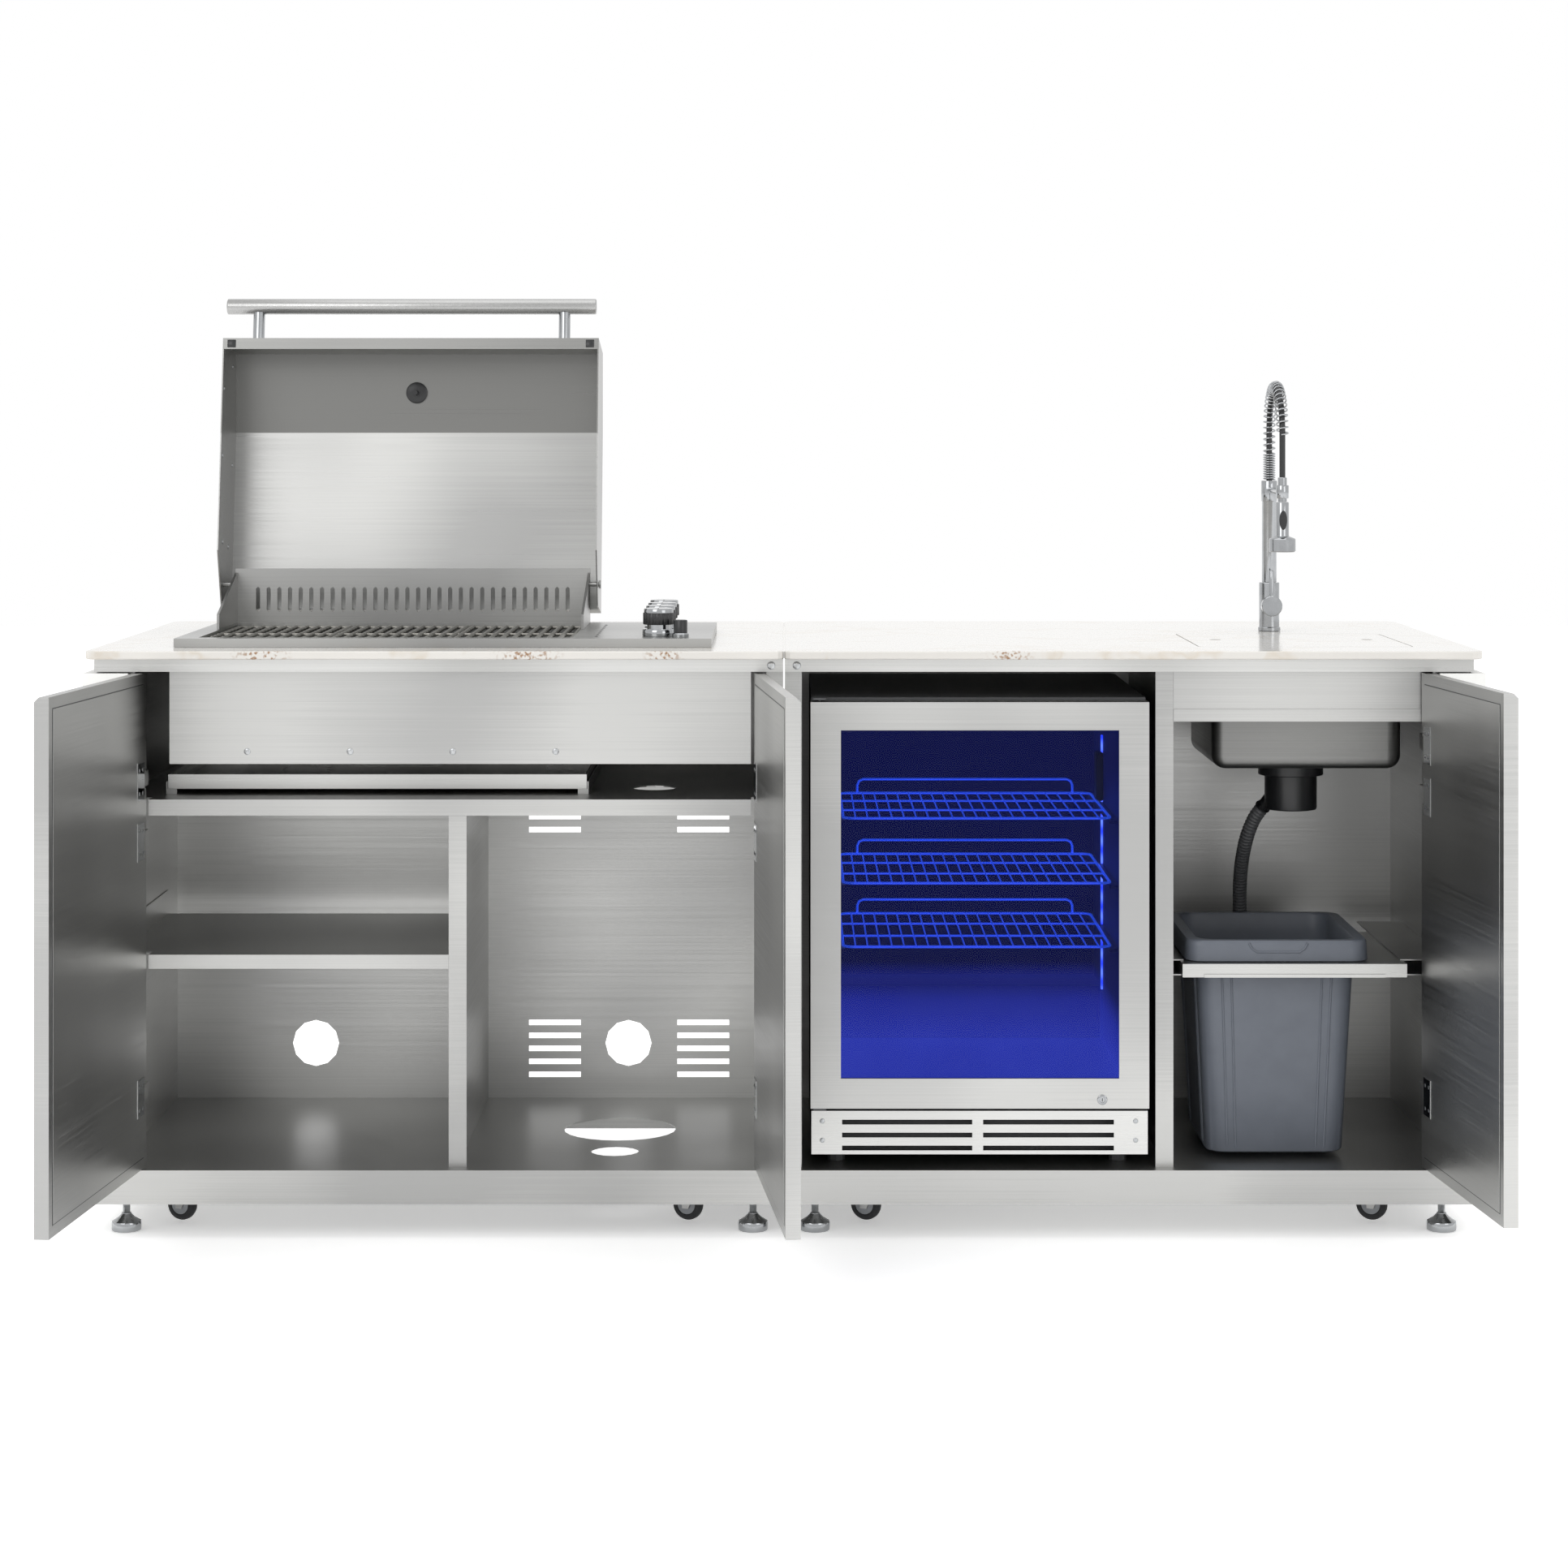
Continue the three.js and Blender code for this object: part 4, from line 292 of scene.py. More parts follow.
def fridge_liner_finish():
    """Blue vacuum-formed polystyrene with painted LED light: its glow and colour are painted deep at the top,
    light at the bottom.
    Its embossed dimples are 12 mm apart."""
    material, tree, shader = finish("blue_polystyrene_liner_painted_glow", {
        "Roughness": 0.4, "IOR": 1.55, "Specular IOR Level": 0.1, "Emission Strength": 1.0})
    place = add(tree, "ShaderNodeTexCoord").outputs["Object"]
    parts = add(tree, "ShaderNodeSeparateXYZ", {0: place})
    # Painted light: base colour and glow grow lighter towards the bottom, as if lit by the LEDs
    height = add(tree, "ShaderNodeMapRange", {"Value": parts.outputs[2], "From Min": PAINTED_GLOW_BOTTOM * MM,
                                              "From Max": PAINTED_GLOW_TOP * MM})
    base = add(tree, "ShaderNodeValToRGB", {"Fac": height.outputs[0]})
    base.color_ramp.elements[0].color = hex_colour("#10173c")
    base.color_ramp.elements[1].color = hex_colour("#010208")
    base.color_ramp.elements.new(0.25).color = hex_colour("#03051a")
    # Painted glow: the liner's emission stands in for the LED light on it
    painted_glow = add(tree, "ShaderNodeValToRGB", {"Fac": height.outputs[0]})
    painted_glow.color_ramp.elements[0].color = hex_colour("#4a5ac6")
    painted_glow.color_ramp.elements[1].color = hex_colour("#0b1550")
    painted_glow.color_ramp.elements.new(0.12).color = hex_colour("#3240a6")
    painted_glow.color_ramp.elements.new(0.2).color = hex_colour("#0a1246")
    dimples = add(tree, "ShaderNodeTexVoronoi", {"Vector": place, "Scale": 83.0, "Randomness": 0.0})
    bump = add(tree, "ShaderNodeBump", {"Height": dimples.outputs["Distance"], "Strength": 0.04,
                                        "Distance": 0.2 * MM})
    drive(tree, shader, {"Base Color": base.outputs[0], "Emission Color": painted_glow.outputs[0],
                         "Normal": bump.outputs[0]})
    return material


def led_strip():
    """A diffused blue LED strip: even light with soft hot spots 31 mm apart."""
    material, tree, shader = finish("blue_led_diffuser", {"Roughness": 0.4, "Emission Strength": 3.5})
    place = add(tree, "ShaderNodeTexCoord").outputs["Object"]
    dots = add(tree, "ShaderNodeTexWave", {"Vector": place, "Scale": 10.0, "Distortion": 0.0},
               bands_direction="Z")
    tone = add(tree, "ShaderNodeMix", {"Factor": dots.outputs["Fac"], 6: hex_colour("#2340e0"),
                                       7: hex_colour("#6f8cff")}, data_type="RGBA")
    drive(tree, shader, {"Base Color": tone.outputs[2], "Emission Color": tone.outputs[2]})
    return material


def pane_with_painted_blue_light():
    """Float glass with the blue of the light behind it painted on as a tint, and a faint film of dust and
    wiping.
    """
    material, tree, shader = finish("float_glass_painted_blue_light", {"Transmission Weight": 1.0, "IOR": 1.15,
                                                          "Specular IOR Level": 0.12})
    place = add(tree, "ShaderNodeTexCoord").outputs["Object"]
    film = add(tree, "ShaderNodeTexNoise", {"Vector": place, "Scale": 9.0, "Detail": 3.0})
    gloss = add(tree, "ShaderNodeMapRange", {"Value": film.outputs[0], "To Min": 0.0, "To Max": 0.004})
    tone = add(tree, "ShaderNodeMix", {"Factor": film.outputs[0], 6: hex_colour("#7f88c4"),
                                       7: hex_colour("#9aa2d6")}, data_type="RGBA")
    drive(tree, shader, {"Base Color": tone.outputs[2], "Roughness": gloss.outputs[0]})
    return material


LINER_PAINTED_GLOW = fridge_liner_finish()
LED_BLUE = led_strip()
PANE = pane_with_painted_blue_light()


def wear(worn, *nodes):
    """Gives CAD nodes their finish; their meshes stay as they are."""
    for name in nodes:
        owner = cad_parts[name]
        if not owner.material_slots:
            owner.data.materials.append(worn)
        for holder in owner.material_slots:
            holder.material = worn


wear(CABINET_STEEL, "left_carcass", "right_carcass", "heat_shelf", "low_shelf")
wear(TRIM_STEEL, "left_top_rail", "right_top_rail", "toe_grille", "bin_frame", "grease_tray")
wear(DOOR_STEEL, "left_door", "right_door", "sink_door", "grill_fascia", "sink_fascia", "fridge_door")
wear(LID_STEEL, "grill_lid", "grill_rear_wall")
wear(LEVEL_STEEL, "grill_firebox", *(f"flame_tamer_{i}" for i in (1, 2, 3, 4)))
wear(MARBLE, "left_worktop", "right_worktop", "sink_cover")
wear(ENAMEL, "left_end_panel", "right_end_panel")
wear(CASE_PAINT, "fridge_cabinet")
wear(PANE, "fridge_glass")


# Shapes in mesh code
CORNER_SHARE = 0.6  # an eased slab's upright corners are cut by this share of its edge


def placed(name, mesh, body, sharp):
    """An object for a finished mesh, smooth but for its sharp edges, riding on its body."""
    mesh.polygons.foreach_set("use_smooth", [True] * len(mesh.polygons))
    mesh.set_sharp_from_angle(angle=math.radians(sharp))
    made = bpy.data.objects.new(name, mesh)
    bpy.context.scene.collection.objects.link(made)
    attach(made, body)
    return made


class Shape:
    """Points, faces and each face's finish, gathered into one mesh of one or more closed bodies."""

    def __init__(self):
        self.points, self.faces, self.finishes = [], [], []

    def put(self, points, faces, material, place=None):
        start = len(self.points)
        place = place or Matrix.Identity(4)
        self.points += [place @ Vector(p) for p in points]
        self.faces += [[start + i for i in face] for face in faces]
        self.finishes += [material] * len(faces)

    def strip(self, rings, material, place=None, looped=False):
        """Joins rings of the same count into a skin, with a cap at each end unless it is looped."""
        count, total = len(rings[0]), len(rings)
        faces = []
        for r in range(total if looped else total - 1):
            a, b = r * count, ((r + 1) % total) * count
            faces += [[a + i, a + (i + 1) % count, b + (i + 1) % count, b + i] for i in range(count)]
        if not looped:
            faces += [list(range(count))[::-1], [(total - 1) * count + i for i in range(count)]]
        self.put([p for one in rings for p in one], faces, material, place)

    def turned(self, profile, steps, material, place=None):
        """A body turned about Z from (radius, height) in mm, bottom to top, closed on the axis."""
        rings = [[(r * MM * math.cos(TURN * i / steps), r * MM * math.sin(TURN * i / steps), h * MM)
                  for i in range(steps)] for r, h in profile]
        self.strip(rings, material, place)

    def tube(self, line, radius, sides, material, closed=False):
        """A round bar along a line of points in metres; radius in mm, one or one for each point."""
        points = [Vector(p) for p in line]
        radii = radius if isinstance(radius, list) else [radius] * len(points)
        count = len(points)
        across = None
        rings = []
        for i, point in enumerate(points):
            if closed:
                ahead = points[(i + 1) % count] - points[i - 1]
            else:
                ahead = points[min(i + 1, count - 1)] - points[max(i - 1, 0)]
            ahead.normalize()
            if across is None:
                across = ahead.orthogonal().normalized()
            across = (across - ahead * across.dot(ahead)).normalized()
            up = ahead.cross(across)
            rings.append([point + (across * math.cos(TURN * k / sides) + up * math.sin(TURN * k / sides))
                          * radii[i] * MM for k in range(sides)])
        self.strip(rings, material, looped=closed)

    def slab(self, low, high, material, place=None, edge=0.0):
        """A rectangular body from corner to corner in metres, its edges eased by `edge` mm."""
        ease = edge * MM
        corner = CORNER_SHARE * ease
        levels = [(low[2], 0), (high[2], 0)]
        if edge:
            levels = [(low[2], ease), (low[2] + ease, 0), (high[2] - ease, 0), (high[2], ease)]
        rings = []
        for z, inset in levels:
            x0, x1, y0, y1 = low[0] + inset, high[0] - inset, low[1] + inset, high[1] - inset
            if edge:
                rings.append([(x0 + corner, y0, z), (x1 - corner, y0, z), (x1, y0 + corner, z),
                              (x1, y1 - corner, z), (x1 - corner, y1, z), (x0 + corner, y1, z),
                              (x0, y1 - corner, z), (x0, y0 + corner, z)])
            else:
                rings.append([(x0, y0, z), (x1, y0, z), (x1, y1, z), (x0, y1, z)])
        self.strip(rings, material, place)

    def piece(self, name, body, slot, sharp=38):
        """The finished object, riding on its body."""
        mesh = bpy.data.meshes.new(name)
        mesh.from_pydata([tuple(p) for p in self.points], [], self.faces)
        kinds = list(dict.fromkeys(self.finishes))
        for kind in kinds:
            mesh.materials.append(kind)
        mesh.polygons.foreach_set("material_index", [kinds.index(kind) for kind in self.finishes])
        mesh.validate()
        return placed(name, mesh, body, sharp)


def turn_to(direction):
    """A turn of Z to a direction."""
    return Vector(direction).to_track_quat("Z", "Y").to_matrix().to_4x4()


def standing(x, y, z, direction=UPWARD):
    """The place of a turned body: its foot in drawing mm and the way its axis points."""
    return Matrix.Translation(at(x, y, z)) @ turn_to(direction)


# Repeats grown by geometry nodes
def new_tree(name, inputs):
    """An empty geometry tree with named inputs; returns the tree, its inputs and its output node."""
    tree = bpy.data.node_groups.new(name, "GeometryNodeTree")
    tree.interface.new_socket("Geometry", in_out="INPUT", socket_type="NodeSocketGeometry")
    for label, kind in inputs.items():
        tree.interface.new_socket(label, in_out="INPUT", socket_type="NodeSocket" + kind)
    tree.interface.new_socket("Geometry", in_out="OUTPUT", socket_type="NodeSocketGeometry")
    return tree, add(tree, "NodeGroupInput").outputs, add(tree, "NodeGroupOutput")


def close_tree(tree, geometry, material, end):
    """Every tree ends in real meshes with their finish set."""
    real = add(tree, "GeometryNodeRealizeInstances", {0: geometry})
    worn = add(tree, "GeometryNodeSetMaterial", {"Geometry": real.outputs[0], "Material": material})
    tree.links.new(worn.outputs[0], end.inputs[0])


def grown(name, tree, values, points, body, sharp=38):
    """Runs a tree on points in metres and keeps the result as a plain mesh riding on a body."""
    seeds = bpy.data.meshes.new(name + "_seeds")
    seeds.from_pydata([tuple(p) for p in points], [], [])
    holder = bpy.data.objects.new(name + "_seeds", seeds)
    bpy.context.scene.collection.objects.link(holder)
    modifier = holder.modifiers.new("repeat", "NODES")
    modifier.node_group = tree
    for socket in tree.interface.items_tree:
        if socket.item_type == "SOCKET" and socket.in_out == "INPUT" and socket.name in values:
            modifier[socket.identifier] = values[socket.name]
    bpy.context.view_layer.update()
    mesh = bpy.data.meshes.new_from_object(holder.evaluated_get(bpy.context.evaluated_depsgraph_get()))
    bpy.data.objects.remove(holder)
    mesh.name = name
    return placed(name, mesh, body, sharp)


def domed_head_tree():
    """A low domed screw or rivet head on each point, turned to face one way."""
    tree, given, end = new_tree("domed_heads", {"Head radius": "Float", "Head height": "Float",
                                                "Facing": "Vector", "Finish": "Material"})
    ball = add(tree, "GeometryNodeMeshUVSphere", {"Segments": 20, "Rings": 10, "Radius": 1.0})
    shape = add(tree, "ShaderNodeCombineXYZ", {0: given["Head radius"], 1: given["Head radius"],
                                               2: given["Head height"]})
    head = add(tree, "GeometryNodeTransform", {"Geometry": ball.outputs[0], "Scale": shape.outputs[0]})
    turn = add(tree, "FunctionNodeAlignRotationToVector", {"Vector": given["Facing"]}, axis="Z")
    spread = add(tree, "GeometryNodeInstanceOnPoints", {
        "Points": given["Geometry"], "Instance": head.outputs[0], "Rotation": turn.outputs[0]})
    close_tree(tree, spread.outputs[0], given["Finish"], end)
    return tree


def close_row(tree, given, bar, count, end):
    """Sets bars side by side along X, `count` of them a pitch apart, starting at each point."""
    step = add(tree, "ShaderNodeCombineXYZ", {0: given["Pitch"]})
    row = add(tree, "GeometryNodeMeshLine", {"Count": given[count], "Offset": step.outputs[0]})
    places = add(tree, "GeometryNodeInstanceOnPoints", {"Points": given["Geometry"],
                                                        "Instance": row.outputs[0]})
    points = add(tree, "GeometryNodeRealizeInstances", {0: places.outputs[0]})
    bars = add(tree, "GeometryNodeInstanceOnPoints", {"Points": points.outputs[0],
                                                      "Instance": bar.outputs[0]})
    close_tree(tree, bars.outputs[0], given["Finish"], end)


def bar_row_tree():
    """A row of equal round bars along Y."""
    tree, given, end = new_tree("bar_row", {"Bars": "Int", "Pitch": "Float", "Bar radius": "Float",
                                            "Bar length": "Float", "Finish": "Material"})
    bar = add(tree, "GeometryNodeMeshCylinder", {"Vertices": 12, "Radius": given["Bar radius"],
                                                 "Depth": given["Bar length"]})
    laid = add(tree, "GeometryNodeTransform", {"Geometry": bar.outputs[0],
                                               "Rotation": (math.radians(90), 0, 0)})
    close_row(tree, given, laid, "Bars", end)
    return tree


def wavy_rod_tree():
    """A row of round cooking rods along Y that sway from side to side as a sine."""
    tree, given, end = new_tree("wavy_rods", {
        "Rods": "Int", "Pitch": "Float", "Rod radius": "Float", "Rod length": "Float", "Sway": "Float",
        "Sway length": "Float", "Finish": "Material"})
    tip = add(tree, "ShaderNodeCombineXYZ", {1: given["Rod length"]})
    line = add(tree, "GeometryNodeCurvePrimitiveLine", {"End": tip.outputs[0]})
    fine = add(tree, "GeometryNodeResampleCurve", {"Curve": line.outputs[0], "Count": 81})
    spot = add(tree, "GeometryNodeInputPosition")
    parts = add(tree, "ShaderNodeSeparateXYZ", {0: spot.outputs[0]})
    phase = add(tree, "ShaderNodeMath", {0: parts.outputs[1], 1: given["Sway length"]}, operation="DIVIDE")
    angle = add(tree, "ShaderNodeMath", {0: phase.outputs[0], 1: TURN}, operation="MULTIPLY")
    sine = add(tree, "ShaderNodeMath", {0: angle.outputs[0]}, operation="SINE")
    reach = add(tree, "ShaderNodeMath", {0: sine.outputs[0], 1: given["Sway"]}, operation="MULTIPLY")
    shift = add(tree, "ShaderNodeCombineXYZ", {0: reach.outputs[0]})
    swayed = add(tree, "GeometryNodeSetPosition", {"Geometry": fine.outputs[0], "Offset": shift.outputs[0]})
    round_bar = add(tree, "GeometryNodeCurvePrimitiveCircle", {"Resolution": 10,
                                                               "Radius": given["Rod radius"]})
    rod = add(tree, "GeometryNodeCurveToMesh", {"Curve": swayed.outputs[0],
                                                "Profile Curve": round_bar.outputs[0], "Fill Caps": True})
    close_row(tree, given, rod, "Rods", end)
    return tree


DOMED_HEADS = domed_head_tree()
BAR_ROW = bar_row_tree()
WAVY_RODS = wavy_rod_tree()


def heads(name, places, facing, size, material, body):
    """Screw, rivet or plug heads on drawing places; size is their radius and height."""
    radius, height = size
    return grown(name, DOMED_HEADS, {"Head radius": radius * MM, "Head height": height * MM,
                                     "Facing": facing, "Finish": material},
                 [at(*p) for p in places], body, sharp=60)


# Cooking grates: eleven rods a section, 18.7 mm apart, that sway from side to side over cross bars
ROD_COUNT, ROD_RADIUS, ROD_SWAY, SWAY_LENGTH = 11, 3.3, 1.8, 34
ROD_END_GAP = 1
CROSS_RADIUS, CROSS_INSET, CROSS_DROP = 2.6, 3.5, 1


def cooking_grates():
    edge, end_gap = (ROD_RADIUS + ROD_SWAY) * MM, ROD_END_GAP * MM
    for section in (1, 2, 3):
        low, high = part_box(f"cooking_grate_{section}")
        middle = (low.z + high.z) / 2
        rows = grown(f"wavy_grate_rods_{section}", WAVY_RODS, {
            "Rods": ROD_COUNT, "Pitch": (high.x - low.x - 2 * edge) / (ROD_COUNT - 1),
            "Rod radius": ROD_RADIUS * MM, "Rod length": high.y - low.y - 2 * end_gap,
            "Sway": ROD_SWAY * MM, "Sway length": SWAY_LENGTH * MM, "Finish": ROD_STEEL},
            [(low.x + edge, low.y + end_gap, middle)], "island", sharp=50)
        cross = Shape()
        inset, level = CROSS_INSET * MM, middle - CROSS_DROP * MM
        for y in (low.y + inset, (low.y + high.y) / 2, high.y - inset):
            cross.tube([(low.x + end_gap, y, level), (high.x - end_gap, y, level)], CROSS_RADIUS, 10,
                       ROD_STEEL)
        bars = cross.piece(f"grate_cross_bars_{section}", "island", "grate_steel")
        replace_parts(rows, f"cooking_grate_{section}")
        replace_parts(bars, f"cooking_grate_{section}")


cooking_grates()

# Grill lid: pieces are placed in the lid's own drawing, f forward and g up when it is shut
LID_PIVOT_Y, LID_PIVOT_Z, LID_OPEN = 483, 1000.7, 100
LID = Matrix.Translation(at(0, LID_PIVOT_Y, LID_PIVOT_Z)) @ Matrix.Rotation(math.radians(-LID_OPEN), 4, "X")
HANDLE_LEFT, HANDLE_RIGHT, HANDLE_F, HANDLE_G, HANDLE_RADIUS = -964, -325, 487, 20, 13.5
HANDLE_ENDS = ((0, 1.9), (0.8, 0.5), (2, 0))  # how much slimmer the bar is, by run from its end
POST_XS = (-909, -380)
POST_FS, POST_RADII = (415.3, 418, 418.01, 476), [13, 12.4, 10, 10]
GAUGE_X, GAUGE_F, GAUGE_G = -640, 347, 83.42
GAUGE_FACING = (0, -23, 137)  # square to the lid's slope
GAUGE_BACK = [(4, -30), (4, -7.2), (16.8, -7.1), (18.4, -6.2), (18.4, -3.4), (17.6, -2.7)]
GAUGE_RIM = [(15.5, 0.3), (18.5, 0.4), (18.5, 7.6), (17.2, 9), (15.6, 9), (15.4, 6.5)]
GAUGE_DIAL = [(15.2, 6.4), (15.2, 6.9)]
NEEDLE, NEEDLE_TURN = (mm(-0.6, -10, 7), mm(0.6, 3, 7.5)), 0.7
TICK, TICKS, TICK_FIRST, TICK_STEP = (mm(-0.4, 10.5, 6.9), mm(0.4, 14, 7.1)), 11, -125, 25
STOP_XS, STOP_WIDTH = (-949, -338), 14
STOP_BACK, STOP_FRONT, STOP_FOOT, STOP_TOP = 399, 412, -66, -64.1
LID_RIVETS = ((70, -20), (70, 40), (215, -45), (215, 60), (330, -48), (385, 40))  # f and g
RIVET_SIDES = (("left", -955, (1, 0, 0)), ("right", -318, (-1, 0, 0)))
RIVET = (4, 1.5)


def lid_at(x, f, g):
    return LID @ mm(x, -f, g)


def lid_handle():
    bar = Shape()
    stops = [(HANDLE_LEFT + run, slim) for run, slim in HANDLE_ENDS]
    stops += [(HANDLE_RIGHT - run, slim) for run, slim in reversed(HANDLE_ENDS)]
    bar.tube([lid_at(x, HANDLE_F, HANDLE_G) for x, slim in stops],
             [HANDLE_RADIUS - slim for x, slim in stops], 48, BAR_STEEL)
    for x in POST_XS:
        bar.tube([lid_at(x, f, HANDLE_G) for f in POST_FS], POST_RADII, 32, CHROME)
    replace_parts(bar.piece("round_lid_handle", "lid_body", "bright_steel"), "lid_handle")


def lid_gauge():
    gauge = Shape()
    place = LID @ Matrix.Translation(mm(GAUGE_X, -GAUGE_F, GAUGE_G)) @ turn_to(
        Vector(GAUGE_FACING).normalized())
    gauge.turned(GAUGE_BACK, 48, BLACK_ABS, place)
    gauge.turned(GAUGE_RIM, 48, CHROME, place)
    gauge.turned(GAUGE_DIAL, 48, ENAMEL, place)
    gauge.slab(*NEEDLE, BLACK_ABS, place @ Matrix.Rotation(NEEDLE_TURN, 4, "Z"))
    for tick in range(TICKS):
        turn = Matrix.Rotation(math.radians(TICK_FIRST + TICK_STEP * tick), 4, "Z")
        gauge.slab(*TICK, BLACK_ABS, place @ turn)
    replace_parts(gauge.piece("dial_thermometer", "lid_body", "black_plastic"), "lid_thermometer")


def lid_fittings():
    """Rubber stops at the rim's corners, which keep the shut lid off the frame, and rivets."""
    stops = Shape()
    for x in STOP_XS:
        stops.slab(mm(x, -STOP_FRONT, STOP_FOOT), mm(x + STOP_WIDTH, -STOP_BACK, STOP_TOP), BLACK_ABS,
                   LID, edge=0.5)
    stops.piece("lid_rubber_stops", "lid_body", "black_plastic")
    for side, x, facing in RIVET_SIDES:
        heads(f"lid_rivets_{side}", [drawn(lid_at(x, f, g)) for f, g in LID_RIVETS], facing, RIVET, ZINC,
              "lid_body")


lid_handle()
lid_gauge()
lid_fittings()

# Grill controls and fasteners
KNOB_X, KNOB_FIRST, KNOB_PITCH = -201, 135, 87
KNOB_SKIRT = [(25.4, 0.3), (26, 1), (26, 10.4), (24.6, 12)]
KNOB_NECK = [(18.6, 12), (18.6, 19)]
KNOB_GRIP = [(24, 19), (25, 20), (25, 37), (24, 38)]
KNOB_CAP = [(23.5, 38), (23.5, 43.2), (22.6, 44.6), (20.5, 45)]
KNOB_MARK = (mm(-1, 7, 44.9), mm(1, 19, 45.3))
FLUTES, FLUTE_DEPTH, GRIP_STEPS = 24, 0.9, 144
STARTER_X, STARTER_Y = -165, 105
STARTER_COLLAR = [(13, 0.3), (13.3, 1), (13.3, 6), (12.4, 7)]
STARTER_CAP = [(11, 7), (11, 26.6), (10.2, 27.7), (8.5, 28)]
PLUG_X, PLUG_FIRST, PLUG_PITCH, PLUGS, PLUG = -300, 120, 44, 8, (2.8, 1.2)
FASCIA_BOLT_FIRST, FASCIA_BOLT_PITCH, FASCIA_BOLT_Z, FASCIA_BOLTS = -843.7, 161.6, 759.5, 4
FASCIA_BOLT, FASCIA_SUNK = (5.6, 2.2), 2
RAIL_BOLT_X, RAIL_BOLT_Z, RAIL_BOLT, RAIL_SUNK = 20, 896.5, (6.7, 3.2), 3


def fluted_ring(radius, height):
    """A circle of a knob's grip, drawn in at its flutes."""
    ring = []
    for angle in [TURN * k / GRIP_STEPS for k in range(GRIP_STEPS)]:
        here = radius - FLUTE_DEPTH / 2 * (1 - math.cos(FLUTES * angle))
        ring.append(mm(here * math.cos(angle), here * math.sin(angle), height))
    return ring


def burner_knobs():
    for i in (1, 2, 3, 4):
        knob = Shape()
        place = standing(KNOB_X, KNOB_FIRST + KNOB_PITCH * (i - 1), GRILL_TOP)
        knob.turned(KNOB_SKIRT, 64, CHROME, place)
        knob.turned(KNOB_NECK, 48, CHROME, place)
        knob.strip([fluted_ring(radius, height) for radius, height in KNOB_GRIP], BLACK_ABS, place)
        knob.turned(KNOB_CAP, 64, CHROME, place)
        knob.slab(*KNOB_MARK, BLACK_ABS, place)
        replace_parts(knob.piece(f"turned_burner_knob_{i}", f"knob_{i}_body", "black_plastic", sharp=45),
                    f"burner_knob_{i}")


def ignition_knob():
    starter = Shape()
    place = standing(STARTER_X, STARTER_Y, GRILL_TOP)
    starter.turned(STARTER_COLLAR, 48, CHROME, place)
    starter.turned(STARTER_CAP, 48, BLACK_ABS, place)
    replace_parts(starter.piece("turned_ignition_knob", "igniter_body", "black_plastic"), "ignition_knob")


def grill_fasteners():
    heads("frame_plugs", [(PLUG_X, PLUG_FIRST + PLUG_PITCH * k, GRILL_TOP) for k in range(PLUGS)], UPWARD,
          PLUG, BLACK_ABS, "island")
    wall = drawn(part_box("grill_fascia")[0])[1] + FASCIA_SUNK
    heads("fascia_bolts", [(FASCIA_BOLT_FIRST + FASCIA_BOLT_PITCH * k, wall, FASCIA_BOLT_Z)
                           for k in range(FASCIA_BOLTS)], FRONTWARD, FASCIA_BOLT, ZINC, "island")
    rail = drawn(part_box("left_top_rail")[0])[1] + RAIL_SUNK
    heads("rail_bolts", [(side * RAIL_BOLT_X, rail, RAIL_BOLT_Z) for side in (-1, 1)], FRONTWARD,
          RAIL_BOLT, ZINC, "island")


burner_knobs()
ignition_knob()
grill_fasteners()

# Refrigerator. The liner's boards, as x, y and z from and to: sides, back, hump front and top, floor, roof
LINER_BOARDS = (
    ((81.3, 82.8), (45, 517), (244, 804)),
    ((530.2, 531.7), (45, 517), (244, 804)),
    ((82.8, 530.2), (516.2, 517.7), (331.7, 803.5)),
    ((82.8, 530.2), (398.3, 399.8), (245, 330.2)),
    ((82.8, 530.2), (398.3, 517.7), (330.2, 331.7)),
    ((82.8, 530.2), (45, 398.3), (243.3, 244.8)),
    ((82.8, 530.2), (45, 517.7), (803.3, 804.8)))
CARRIER_XS, CARRIER_Y = ((82.8, 97), (516, 530.2)), (79.7, 460.3)
SHELF_LEVELS, CARRIER_DEEP, CARRIER_GAP = (442, 543, 646), 6.4, 0.15
LED_STRIP = (at(527.5, 345, 334), at(530.1, 355, 756))
SWITCH_BOX = (at(518, 334, 648), at(530.1, 366, 729))
WIRE, CROSS_WIRE, THIN_WIRE = 2.25, 1.8, 1.3  # radii
CORNER, CORNER_STEPS = 18, 6
RAIL_BEND, RAIL_IN = 10, (30, 33, 40)  # the raised back rail leaves the rim 30 mm in
KNEE_SHARE = 0.3  # its bend is drawn with one more point, this share of the bend under the top
CROSS_IN, CROSS_UNDER, THIN_OVER, THIN_WIRES = 120, 0.2, 1.2, 21
LOCK_X, LOCK_Z = 498, 217
LOCK = [(8, 0), (8, 1.4), (7.2, 2), (4.6, 2), (4.2, 1.2)]
# The keyhole is a thin black slab: painted shade standing in for the depth of its slot
KEYHOLE_PAINTED_SHADE = (at(497.4, -1.5, 214.5), at(498.6, -1.1, 219.5))
TOE_SCREW_XS, TOE_SCREW_ZS, TOE_FACE, TOE_SCREW = (60, 551), (152, 182), 8, (4, 1.6)


def round_corners(low, high, z, radius, steps):
    """A level rectangle with rounded corners between two (x, y) corners, anticlockwise."""
    line = []
    for cx, cy, start in ((1, 1, 0), (0, 1, 90), (0, 0, 180), (1, 0, 270)):
        x, y = (a + radius + share * (b - a - 2 * radius) for a, b, share in zip(low, high, (cx, cy)))
        for k in range(steps + 1):
            angle = math.radians(start + k * 90 / steps)
            line.append((x + radius * math.cos(angle), y + radius * math.sin(angle), z))
    return line


